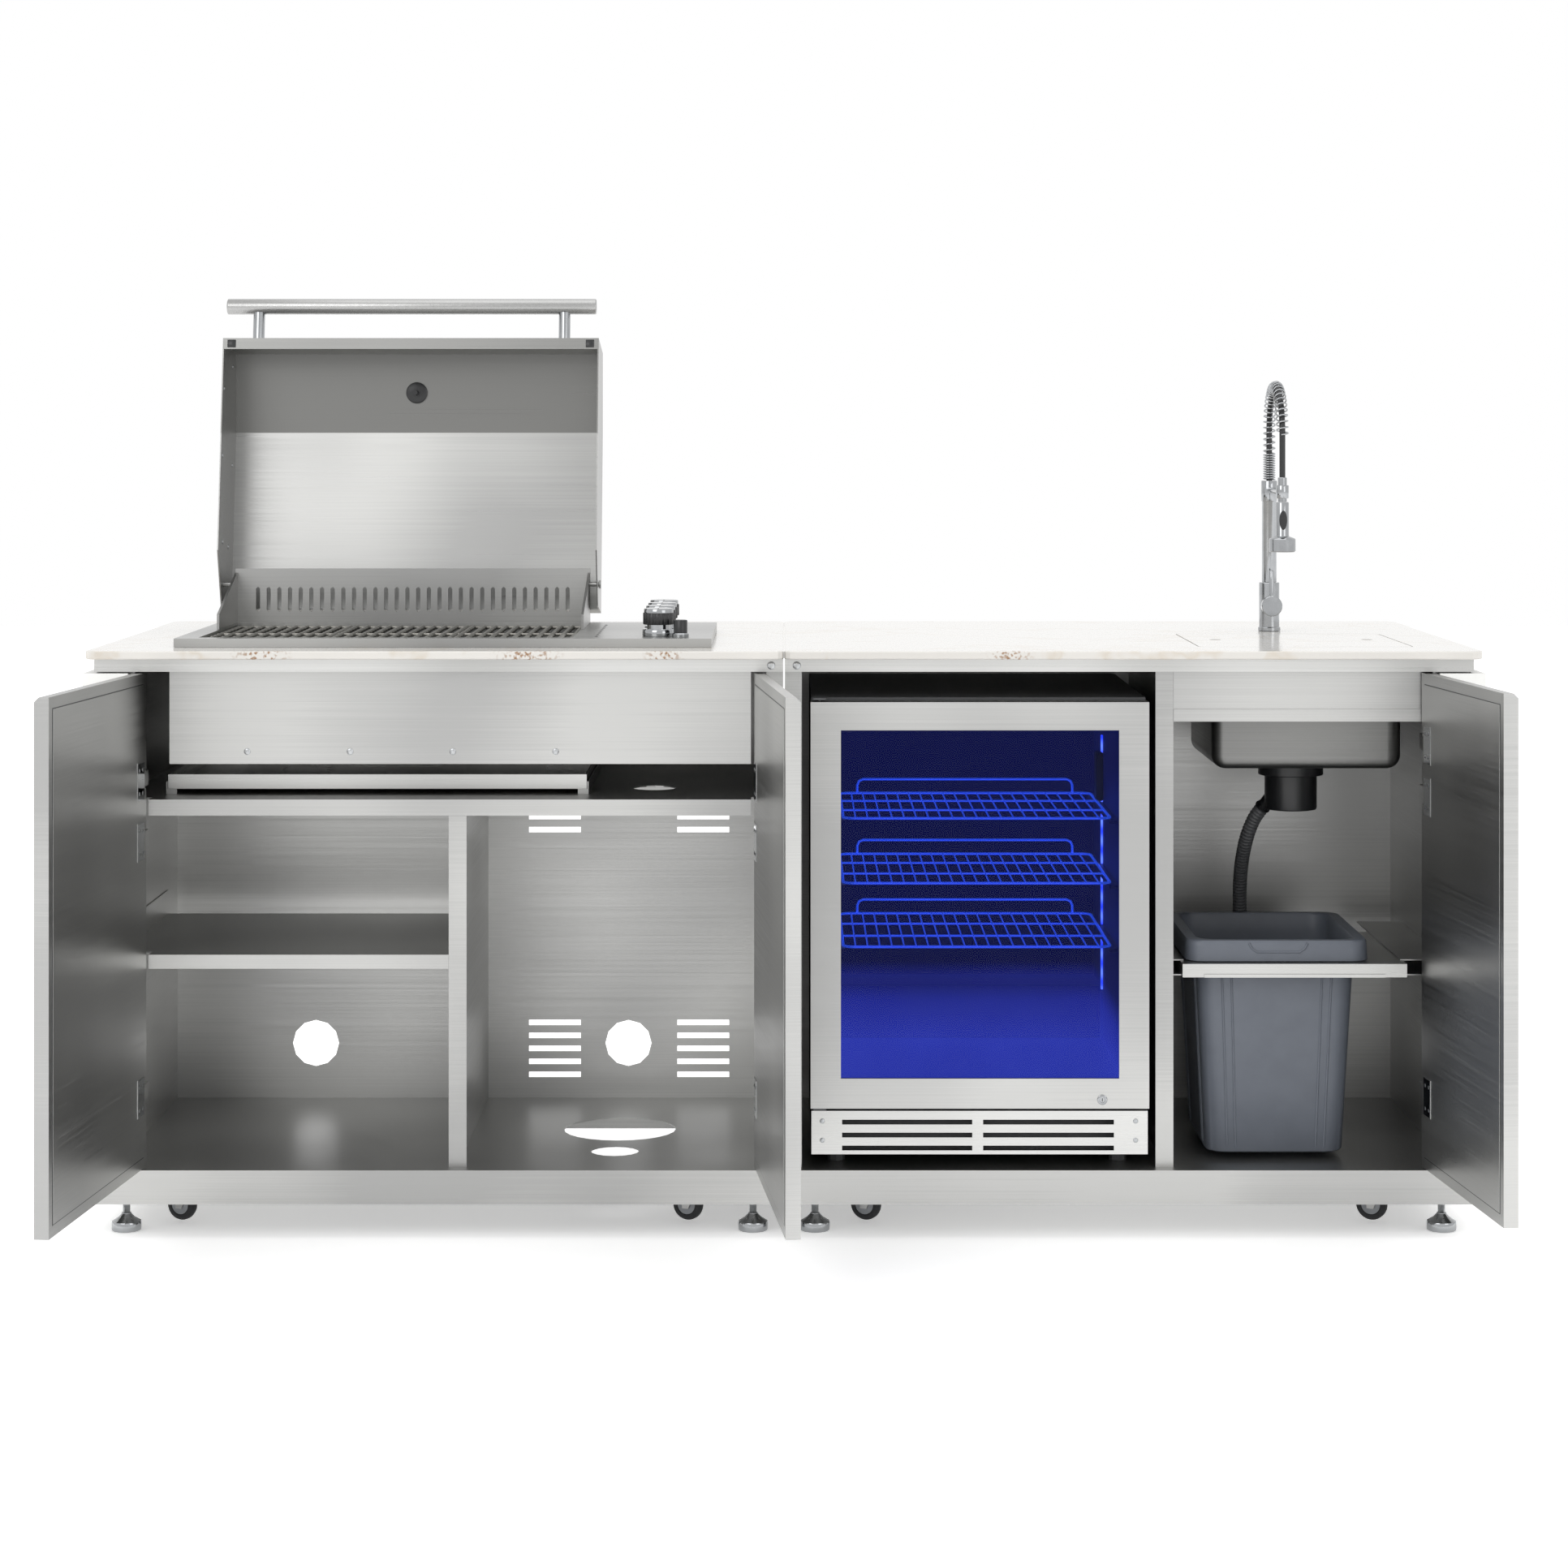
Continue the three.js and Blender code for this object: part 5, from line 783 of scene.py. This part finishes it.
def fridge_liner():
    liner = Shape()
    carriers = [(x, CARRIER_Y, (z - CARRIER_DEEP, z - CARRIER_GAP)) for z in SHELF_LEVELS for x in CARRIER_XS]
    for board in (*LINER_BOARDS, *carriers):
        low, high = zip(*board)
        liner.slab(at(*low), at(*high), LINER_PAINTED_GLOW)
    liner.piece("liner_with_painted_blue_glow", "island", "fridge_body")
    light = Shape()
    light.slab(*LED_STRIP, LED_BLUE)
    light.slab(*SWITCH_BOX, CASE_PAINT, edge=2)
    light.piece("led_strip_and_switch_box", "island", "fridge_body")


def wire_shelf(i):
    low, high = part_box(f"fridge_shelf_{i}")
    edge = WIRE * MM
    x0, x1, y0, y1 = low.x + edge, high.x - edge, low.y + edge, high.y - edge
    level, top, bend = low.z + edge, high.z - edge, RAIL_BEND * MM
    wires = Shape()
    wires.tube(round_corners((x0, y0), (x1, y1), level, CORNER * MM, CORNER_STEPS), WIRE, 12, RACK_WIRE_PAINTED_BLUE,
               closed=True)
    foot, knee, flat = (inset * MM for inset in RAIL_IN)
    left = [(foot, level), (foot, top - bend), (knee, top - KNEE_SHARE * bend), (flat, top)]
    rail = [(x0 + along, y1, z) for along, z in left] + [(x1 - along, y1, z) for along, z in reversed(left)]
    wires.tube(rail, WIRE, 10, RACK_WIRE_PAINTED_BLUE)
    for y in (y0 + CROSS_IN * MM, y1 - CROSS_IN * MM):
        under = level - CROSS_UNDER * MM
        wires.tube([(x0, y, under), (x1, y, under)], CROSS_WIRE, 10, RACK_WIRE_PAINTED_BLUE)
    rim = wires.piece(f"shelf_wire_frame_{i}", "island", "rack_wire")
    pitch = (x1 - x0) / (THIN_WIRES + 1)
    bars = grown(f"shelf_wires_{i}", BAR_ROW, {
        "Bars": THIN_WIRES, "Pitch": pitch, "Bar radius": THIN_WIRE * MM, "Bar length": y1 - y0,
        "Finish": RACK_WIRE_PAINTED_BLUE}, [(x0 + pitch, (y0 + y1) / 2, level + THIN_OVER * MM)], "island",
        sharp=50)
    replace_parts(rim, f"fridge_shelf_{i}")
    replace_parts(bars, f"fridge_shelf_{i}")


def fridge_front():
    lock = Shape()
    lock.turned(LOCK, 32, CHROME, standing(LOCK_X, 0, LOCK_Z, FRONTWARD))
    # Painted shade: the keyhole's slot, drawn as a black slab
    lock.slab(*KEYHOLE_PAINTED_SHADE, BLACK_ABS)
    lock.piece("door_lock", "fridge_door_body", "chrome")
    heads("toe_screws", [(x, TOE_FACE, z) for x in TOE_SCREW_XS for z in TOE_SCREW_ZS], FRONTWARD,
          TOE_SCREW, ZINC, "island")


fridge_liner()
for shelf in (1, 2, 3):
    wire_shelf(shelf)
fridge_front()

# Drain: a ribbed hose on one smooth curve from the strainer cup to its socket in the back wall
HOSE_ROUTE = [(789.3, 300.7, 641), (778.5, 311.5, 622.7), (769, 326, 594), (764, 350, 556),
              (763, 376, 514), (765, 398, 468), (768, 411, 420), (769, 418, 370), (768, 426, 322),
              (766, 443, 278), (765, 471, 246), (765, 508, 229), (765, 543, 225), (765, 573.7, 225)]
HOSE_STEP, HOSE_DIAMETER, RIB_PITCH, RIB_HEIGHT = 1.5, 24, 6, 0.8
STRAINER_X, STRAINER_Y = 830.5, 260
STRAINER_CUP = [(38, 643), (41, 643.6), (42.5, 646), (42.5, 699), (43.5, 700), (52, 700), (53, 701),
                (53, 722), (51.5, 723.7), (36, 723.7), (36, 648), (34, 646.2)]
STRAINER_NUT = [(46, 703), (48.6, 703.2), (48.6, 699.8)]
SPIGOT_RUNS, SPIGOT_RADIUS = (0.4, 24), 10
SPIGOT_NUT_RUNS, SPIGOT_NUT_RADII = (0.4, 3, 3.01, 7), [13, 13, 11.4, 11.4]


def blended(a, b, c, d, t):
    """A point of the centripetal Catmull-Rom arc from b to c."""
    t0, t1 = 0.0, (b - a).length ** 0.5
    t2 = t1 + (c - b).length ** 0.5
    t3 = t2 + (d - c).length ** 0.5
    u = t1 + (t2 - t1) * t
    ab = a.lerp(b, (u - t0) / (t1 - t0))
    bc = b.lerp(c, (u - t1) / (t2 - t1))
    cd = c.lerp(d, (u - t2) / (t3 - t2))
    abc = ab.lerp(bc, (u - t0) / (t2 - t0))
    bcd = bc.lerp(cd, (u - t1) / (t3 - t1))
    return abc.lerp(bcd, (u - t1) / (t2 - t1))


def smooth_line(stops, step):
    """Points through the stops on one smooth curve, about `step` metres apart."""
    guide = [stops[0] * 2 - stops[1]] + stops + [stops[-1] * 2 - stops[-2]]
    line = []
    for a, b, c, d in zip(guide, guide[1:], guide[2:], guide[3:]):
        count = max(1, round((c - b).length / step))
        line += [blended(a, b, c, d, i / count) for i in range(count)]
    return line + [stops[-1]]


def run_of(line):
    """The distance from the start of a line to each of its points."""
    run = [0.0]
    for p, q in zip(line, line[1:]):
        run.append(run[-1] + (q - p).length)
    return run


def drain_hose(line):
    run = run_of(line)
    middle = HOSE_DIAMETER / 2 - RIB_HEIGHT
    hose = Shape()
    hose.tube(line, [middle + RIB_HEIGHT * math.cos(TURN * s / (RIB_PITCH * MM)) for s in run], 20,
              HOSE_PLASTIC)
    piece = hose.piece("ribbed_drain_hose", "island", "hose_grey", sharp=70)
    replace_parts(piece, "drain_hose")


def strainer_cup(start, lead):
    """The cup under the bowl, with its nut and the spigot that runs into the hose's start."""
    cup = Shape()
    place = standing(STRAINER_X, STRAINER_Y, 0)
    cup.turned(STRAINER_CUP, 48, BLACK_ABS, place)
    cup.turned(STRAINER_NUT, 48, BLACK_ABS, place)
    cup.tube([start + lead * run * MM for run in SPIGOT_RUNS], SPIGOT_RADIUS, 24, BLACK_ABS)
    cup.tube([start + lead * run * MM for run in SPIGOT_NUT_RUNS], SPIGOT_NUT_RADII, 24, BLACK_ABS)
    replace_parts(cup.piece("strainer_cup", "island", "black_plastic"), "drain_basket")


hose_line = smooth_line([at(*p) for p in HOSE_ROUTE], HOSE_STEP * MM)
drain_hose(hose_line)
strainer_cup(hose_line[0], (hose_line[0] - hose_line[1]).normalized())

# Faucet: base with a side lever, turning column, sprung hose over an arch and a spray head
FAUCET_X, FAUCET_Y, SPRAY_Y = 830, 508, 351
ARCH_RADIUS, ARCH_Z, COLLAR_TOP = 78.5, 1257.5, 1177
ARCH_RISE = ARCH_Z - COLLAR_TOP
ARCH_RUN = ARCH_RISE + math.pi * ARCH_RADIUS
COLUMN, OUTLET = standing(FAUCET_X, FAUCET_Y, 0), standing(FAUCET_X, SPRAY_Y, 0)
BASE_OUTLINE = [(17.8, 920.3), (19, 920.8), (19, 926), (17.6, 927.3), (17.2, 927.4), (17.2, 1002),
                (16.4, 1003)]
LEVER_Z, BASE_ARM_END, BASE_ARM_RADIUS = 964, 485.8, 10
COLUMN_OUTLINE = [(11.8, 1003.3), (12.5, 1004), (12.5, 1141), (13.2, 1142), (13.5, 1142.6), (13.5, 1176),
                  (12.8, 1177)]
INNER_HOSE_RADIUS, INNER_HOSE_STEPS, INNER_HOSE_END = 5, 90, 1150
SOCKET_OUTLINE = [(7, 1144.4), (7.5, 1145), (7.5, 1184), (6.6, 1185)]
HOLDER_OUTLINE = [(10, 1150), (10.6, 1151), (10.6, 1171), (10, 1172)]
HOLDER_ARM_Z, HOLDER_ARM_RADIUS = 1161, 5
CLOSE_RUN, CLOSE_PITCH, OPEN_PITCH, CURL_STEPS = 44, 4, 10, 20
CURL_RADIUS, CURL_WIRE, CURL_START = 9.55, 1.3, 1.6
HEAD_OUTLINE = [(20.5, 1061), (22, 1062.5), (22, 1082), (20.6, 1083.6), (11.4, 1087), (10.8, 1089),
                (10.8, 1142.4), (9.8, 1144)]
SPRAY_FACE = [(17.5, 1060.9), (17.5, 1061.6)]
BUTTON_Z, BUTTON_FACE, BUTTON_WIDE, BUTTON_TALL, BUTTON_STEPS = 1114, 10.8, 6.5, 16, 40
BUTTON_DOME = ((3.7, 0.96), (-0.4, 1.0), (-1.1, 0.9), (-1.2, 0.75))  # depth and share of its width
LEVER_GAP, LEVER_LONG = 0.3, 14
LEVER_RUNS, LEVER_RADII = (0, 0.8, 12.8, 14), [16.6, 17.5, 17.5, 16.2]
ROD_ZS, ROD_RADII = (976, 1022.5, 1024.2, 1025), [4, 4.4, 3.8, 2.6]


def arch_point(distance):
    """(y, z, angle) in drawing mm along the hose, from the collar up, over and down."""
    angle = (distance - ARCH_RISE) / ARCH_RADIUS
    if distance < ARCH_RISE:
        return FAUCET_Y, COLLAR_TOP + distance, 0.0
    if angle > math.pi:
        return FAUCET_Y - 2 * ARCH_RADIUS, ARCH_Z - (distance - ARCH_RUN), math.pi
    return FAUCET_Y + ARCH_RADIUS * (math.cos(angle) - 1), ARCH_Z + ARCH_RADIUS * math.sin(angle), angle


def faucet_base():
    base = Shape()
    base.turned(BASE_OUTLINE, 48, CHROME, COLUMN)
    base.tube([at(FAUCET_X, y, LEVER_Z) for y in (FAUCET_Y, BASE_ARM_END)], BASE_ARM_RADIUS, 32, CHROME)
    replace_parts(base.piece("turned_faucet_base", "island", "chrome"), "faucet_base")


def faucet_spout():
    spout = Shape()
    spout.turned(COLUMN_OUTLINE, 48, CHROME, COLUMN)
    total = ARCH_RUN + ARCH_Z - INNER_HOSE_END
    line = [at(FAUCET_X, *arch_point(total * k / INNER_HOSE_STEPS)[:2]) for k in range(INNER_HOSE_STEPS + 1)]
    spout.tube([line[0] - mm(0, 0, 1)] + line[1:], INNER_HOSE_RADIUS, 16, BLACK_ABS)
    spout.turned(SOCKET_OUTLINE, 32, CHROME, OUTLET)
    spout.turned(HOLDER_OUTLINE, 40, CHROME, OUTLET)
    spout.tube([at(FAUCET_X, y, HOLDER_ARM_Z) for y in (FAUCET_Y, SPRAY_Y)], HOLDER_ARM_RADIUS, 20, CHROME)
    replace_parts(spout.piece("turned_spout", "spout_body", "chrome"), "faucet_spout")


def faucet_spring():
    """Eleven close curls at its foot, then open curls 10 mm apart over the arch."""
    close_curls = CLOSE_RUN / CLOSE_PITCH
    curls = close_curls + (ARCH_RUN - CLOSE_RUN) / OPEN_PITCH
    wire = []
    for i in range(math.floor(curls * CURL_STEPS) + 1):
        curl = i / CURL_STEPS
        along = curl * CLOSE_PITCH
        if curl >= close_curls:
            along = CLOSE_RUN + (curl - close_curls) * OPEN_PITCH
        y, z, angle = arch_point(along + CURL_START)
        aside, out = CURL_RADIUS * math.cos(TURN * curl), CURL_RADIUS * math.sin(TURN * curl)
        wire.append(at(FAUCET_X + aside, y + out * math.cos(angle), z + out * math.sin(angle)))
    spring = Shape()
    spring.tube(wire, CURL_WIRE, 8, CHROME)
    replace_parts(spring.piece("wound_spring", "spout_body", "chrome", sharp=80), "faucet_spring")


def spray_head():
    head = Shape()
    head.turned(HEAD_OUTLINE, 48, CHROME, OUTLET)
    head.turned(SPRAY_FACE, 40, BLACK_ABS, OUTLET)
    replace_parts(head.piece("turned_spray_head", "spout_body", "chrome"), "spray_head")
    oval = [(BUTTON_WIDE * math.cos(TURN * k / BUTTON_STEPS), BUTTON_TALL * math.sin(TURN * k / BUTTON_STEPS))
            for k in range(BUTTON_STEPS)]
    button = Shape()
    face = SPRAY_Y - BUTTON_FACE
    button.strip([[at(FAUCET_X + u * share, face + depth, BUTTON_Z + v * share) for u, v in oval]
                  for depth, share in BUTTON_DOME], BLACK_ABS)
    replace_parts(button.piece("oval_spray_button", "button_body", "black_plastic"), "spray_button")


def faucet_lever():
    lever = Shape()
    front = BASE_ARM_END - LEVER_GAP
    lever.tube([at(FAUCET_X, front - run, LEVER_Z) for run in LEVER_RUNS], LEVER_RADII, 48, CHROME)
    middle = (front - LEVER_LONG + BASE_ARM_END) / 2
    lever.tube([at(FAUCET_X, middle, z) for z in ROD_ZS], ROD_RADII, 24, CHROME)
    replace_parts(lever.piece("turned_lever", "lever_body", "chrome"), "faucet_lever")


faucet_base()
faucet_spout()
faucet_spring()
spray_head()
faucet_lever()

# Waste bin: a tapered shell with rounded corners, a flared rim and upright ribs
BIN_X, BIN_Y, BIN_CORNER = 780, 210, 30
BIN_WALLS = (  # width, depth and height of each ring, up the outside and down the inside
    (212, 256, 118), (218, 262, 121), (250, 296, 425.3), (286, 326, 425.3), (290, 330, 427), (288, 328, 448),
    (287, 327, 456), (283, 323, 459), (250, 296, 459), (245, 291, 455), (244, 290, 426), (212, 256, 121.5))
BIN_FOOT, BIN_HEAD = BIN_WALLS[1], BIN_WALLS[2]
RIB_SHARES, RIB_ZS, RIB_RADII = (-0.7, -0.58, 0.58, 0.7), (126, 132, 400, 408), [0.6, 1.7, 1.7, 0.6]
GRIP_OUT, GRIP_RADIUS = 164.2, 1.8
GRIP_LINE = ((-46, 455), (-42, 447), (-34, 441), (34, 441), (42, 447), (46, 455))


def rounded_ring(low, high, z, radius):
    """A level rounded rectangle between two drawing corners, in metres."""
    return [at(*p) for p in round_corners(low, high, z, radius, steps=8)]


def bin_ring(width, depth, z):
    return rounded_ring((BIN_X - width / 2, BIN_Y - depth / 2), (BIN_X + width / 2, BIN_Y + depth / 2), z,
                        BIN_CORNER)


def on_bin(across, along, z):
    """A point of the bin's wall: shares of its half width and half depth, at a height."""
    rise = (z - BIN_FOOT[2]) / (BIN_HEAD[2] - BIN_FOOT[2])
    half_width, half_depth = ((foot + (head - foot) * rise) / 2 for foot, head in zip(BIN_FOOT[:2], BIN_HEAD))
    return at(BIN_X + across * half_width, BIN_Y + along * half_depth, z)


def waste_bin():
    shell = Shape()
    shell.strip([bin_ring(*wall) for wall in BIN_WALLS], BIN_PLASTIC)
    for side in (-1, 1):
        for share in RIB_SHARES:
            for across, along in ((share, side), (side, share)):
                shell.tube([on_bin(across, along, z) for z in RIB_ZS], RIB_RADII, 12, BIN_PLASTIC)
    # Grip: a rolled bead under the middle of the rim, front and back
    for y in (BIN_Y - GRIP_OUT, BIN_Y + GRIP_OUT):
        shell.tube([at(BIN_X + x, y, z) for x, z in GRIP_LINE], GRIP_RADIUS, 12, BIN_PLASTIC)
    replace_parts(shell.piece("ribbed_waste_bin", "bin_body", "bin_grey", sharp=50), "waste_bin")


waste_bin()

# Sink bowl: drawn from one sheet, so that its walls turn into its floor with a wide bend
BOWL_LOW, BOWL_HIGH, BOWL_CORNER, BOWL_LEAST_CORNER = (683, 95), (985, 418), 25, 6
RIM_LOW, RIM_HIGH, RIM_CORNER, RIM_TOP, SHEET = (641, 67), (1020, 444), 1, 906.7, 2
BEND, BEND_Z, BEND_TURN = 22, 746, 10
DRAIN_RADIUS, DRAIN_FLAT = 36, 0.02  # the drain's ring is round but for four short flats


def bowl_ring(inset, z):
    low, high = [c + inset for c in BOWL_LOW], [c - inset for c in BOWL_HIGH]
    return rounded_ring(low, high, z, max(BOWL_CORNER - inset, BOWL_LEAST_CORNER))


def drain_ring(z):
    low, high = ([c + side * DRAIN_RADIUS for c in (STRAINER_X, STRAINER_Y)] for side in (-1, 1))
    return rounded_ring(low, high, z, DRAIN_RADIUS - DRAIN_FLAT / 2)


def sink_bowl():
    turns = [math.radians(a) for a in range(0, 91, BEND_TURN)]
    inner = BEND - SHEET
    outside = [bowl_ring(BEND * (1 - math.cos(t)), BEND_Z - BEND * math.sin(t)) for t in turns]
    inside = [bowl_ring(SHEET + inner * (1 - math.cos(t)), BEND_Z - inner * math.sin(t)) for t in turns]
    rim = [rounded_ring(RIM_LOW, RIM_HIGH, z, RIM_CORNER) for z in (RIM_TOP, RIM_TOP - SHEET)]
    floor = [drain_ring(z) for z in (BEND_Z - BEND, BEND_Z - inner)]
    bowl = Shape()
    bowl.strip(rim + [bowl_ring(0, RIM_TOP - SHEET)] + outside + floor + inside[::-1]
               + [bowl_ring(SHEET, RIM_TOP)], DRAWN_STEEL, looped=True)
    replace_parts(bowl.piece("drawn_sink_bowl", "island", "brushed_steel", sharp=40), "sink_bowl")


sink_bowl()

# Doors: an inner pan behind a dark seam, and plates and screws on the hinge leaves
DOORS = (  # name, pivot x, turn, hinge edge x, width, way from the hinge, hinge heights
    ("left_door", -1012.4, -95.7, -1020, 495, 1, (223, 622, 716)),
    ("right_door", -35.6, 95.7, -28, 495, -1, (223, 622, 716)),
    ("sink_door", 1012.4, 95.7, 1020, 422, -1, (223, 693, 773)))
PIVOT_Y = 11.4
PAN_INSET, PAN_BACK, PAN_FACE, PAN_FOOT, PAN_TOP = 18, 22.1, 22.9, 127, 866
SEAM, SEAM_BACK, SEAM_FACE = 1.5, 22.02, 22.25
PLATE_NEAR, PLATE_FAR, PLATE_BACK, PLATE_FACE, PLATE_HALF = 9, 45, 23.42, 23.95, 29
SCREW_ALONG, SCREW_UP, SCREW_Y, HINGE_SCREW = (18, 36), (-18, 18), 23.4, (3.6, 1.4)


def swung(pivot_x, degrees):
    """Turns a piece drawn on the shut door to where the door stands open."""
    pivot = at(pivot_x, PIVOT_Y, 0)
    turn = Matrix.Rotation(math.radians(degrees), 4, "Z")
    return Matrix.Translation(pivot) @ turn @ Matrix.Translation(-pivot)


def door_details():
    for name, pivot_x, degrees, edge, width, hand, heights in DOORS:
        turn = swung(pivot_x, degrees)
        x0, x1 = sorted((edge + hand * PAN_INSET, edge + hand * (width - PAN_INSET)))
        pan = Shape()
        pan.slab(at(x0 - SEAM, SEAM_BACK, PAN_FOOT - SEAM), at(x1 + SEAM, SEAM_FACE, PAN_TOP + SEAM),
                 BLACK_ABS, turn)
        pan.slab(at(x0, PAN_BACK, PAN_FOOT), at(x1, PAN_FACE, PAN_TOP), DOOR_STEEL, turn, edge=0.3)
        near, far = sorted((pivot_x + hand * PLATE_NEAR, pivot_x + hand * PLATE_FAR))
        for z in heights:
            pan.slab(at(near, PLATE_BACK, z - PLATE_HALF), at(far, PLATE_FACE, z + PLATE_HALF), CHROME,
                     turn, edge=0.2)
        pan.piece(f"{name}_inner_pan", f"{name}_body", "brushed_steel")
        facing = tuple(turn.to_3x3() @ Vector((0, 1, 0)))
        spots = [drawn(turn @ at(pivot_x + hand * along, SCREW_Y, z + up))
                 for z in heights for along in SCREW_ALONG for up in SCREW_UP]
        heads(f"{name}_hinge_screws", spots, facing, HINGE_SCREW, ZINC, f"{name}_body")


door_details()

# Wheels and feet
SWIVEL, TRAIL, WHEEL_Z = math.radians(65), 12, 28.5
WHEEL_XS, WHEEL_YS = (-950, -142, 142, 950), (110, 478)
TYRE = [(15.5, -7.6), (16.5, -8.5), (20.5, -8.5), (23.6, -6.6), (25, -3), (25, 3), (23.6, 6.6), (20.5, 8.5),
        (16.5, 8.5), (15.5, 7.6)]
HUB = [(5, -8.6), (5.5, -8.5), (14.6, -8.2), (15.6, -7.4), (15.6, 7.4), (14.6, 8.2), (5.5, 8.5), (5, 8.6)]
FOOT_XS, FOOT_YS = (-1040, -49, 49, 1040), (60, 548)
FOOT = [(22.7, 0.1), (23.3, 0.8), (23.5, 2), (23.5, 13), (22.8, 14.5), (13, 20.4), (7.4, 26.4), (7.4, 27.2)]
THREAD_FOOT, THREAD_STEP, THREAD_STEPS, THREAD_RADII = 27.2, 0.8, 20, (5.45, 5.9)
THREAD = [(THREAD_RADII[k % 2], THREAD_FOOT + THREAD_STEP * k) for k in range(THREAD_STEPS + 1)]
LOCK_NUT = [(9.2, 44), (9.4, 44.4), (9.4, 51.6), (9.2, 52)]


def wheels():
    axle = (math.cos(SWIVEL), math.sin(SWIVEL), 0)
    for i, (x, y) in enumerate([(x, y) for y in WHEEL_YS for x in WHEEL_XS], 1):
        place = standing(x - TRAIL * math.sin(SWIVEL), y + TRAIL * math.cos(SWIVEL), WHEEL_Z, axle)
        wheel = Shape()
        wheel.turned(TYRE, 48, TYRE_RUBBER, place)
        wheel.turned(HUB, 40, HUB_NYLON, place)
        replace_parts(wheel.piece(f"turned_wheel_{i}", f"wheel_{i}_body", "tyre"), f"caster_wheel_{i}")


def levelling_feet():
    feet = Shape()
    for y in FOOT_YS:
        for x in FOOT_XS:
            place = standing(x, y, 0)
            feet.turned(FOOT, 48, CHROME, place)
            feet.turned(THREAD, 24, ZINC, place)
            feet.turned(LOCK_NUT, 6, ZINC, place)
    feet.piece("levelling_feet", "island", "chrome", sharp=30)


wheels()
levelling_feet()

# Studio: white surroundings, pale floor, one broad key light and two soft fills, in metres and watts
FLOOR_REACH, FLOOR_Z = 16, -0.001
LAMPS = (  # name, place, aim, size, power
    ("key", (-2.6, -4.2, 3.6), (0, 0, 0.6), 3.0, 60),
    ("fill", (3.4, -4.0, 2.2), (0.2, 0, 0.5), 2.4, 22),
    ("top", (0.0, 0.2, 4.6), (0, 0, 0.8), 3.6, 35))


def surroundings():
    world = bpy.context.scene.world or bpy.data.worlds.new("studio")
    bpy.context.scene.world = world
    world.use_nodes = True
    sky = world.node_tree.nodes["Background"]
    sky.inputs["Color"].default_value = hex_colour("#ffffff")
    sky.inputs["Strength"].default_value = 1.0
    bpy.context.scene.view_settings.view_transform = "Standard"
    mesh = bpy.data.meshes.new("studio_floor")
    corners = ((-1, -1), (1, -1), (1, 1), (-1, 1))
    mesh.from_pydata([(x * FLOOR_REACH, y * FLOOR_REACH, FLOOR_Z) for x, y in corners], [], [(0, 1, 2, 3)])
    floor = bpy.data.objects.new("studio_floor", mesh)
    bpy.context.scene.collection.objects.link(floor)
    mesh.materials.append(grained("matt_white_floor_paint", "#fdfdfd", "#fafafa", 40, 0.8, 0.1,
                                  {"Emission Color": (1, 1, 1, 1), "Emission Strength": 0.35}))


def lamps():
    for name, place, aim, size, power in LAMPS:
        data = bpy.data.lights.new(name, "AREA")
        data.size = size
        data.energy = power
        lamp = bpy.data.objects.new(name, data)
        lamp.location = place
        lamp.rotation_euler = (Vector(aim) - Vector(place)).to_track_quat("-Z", "Y").to_euler()
        bpy.context.scene.collection.objects.link(lamp)


surroundings()
lamps()
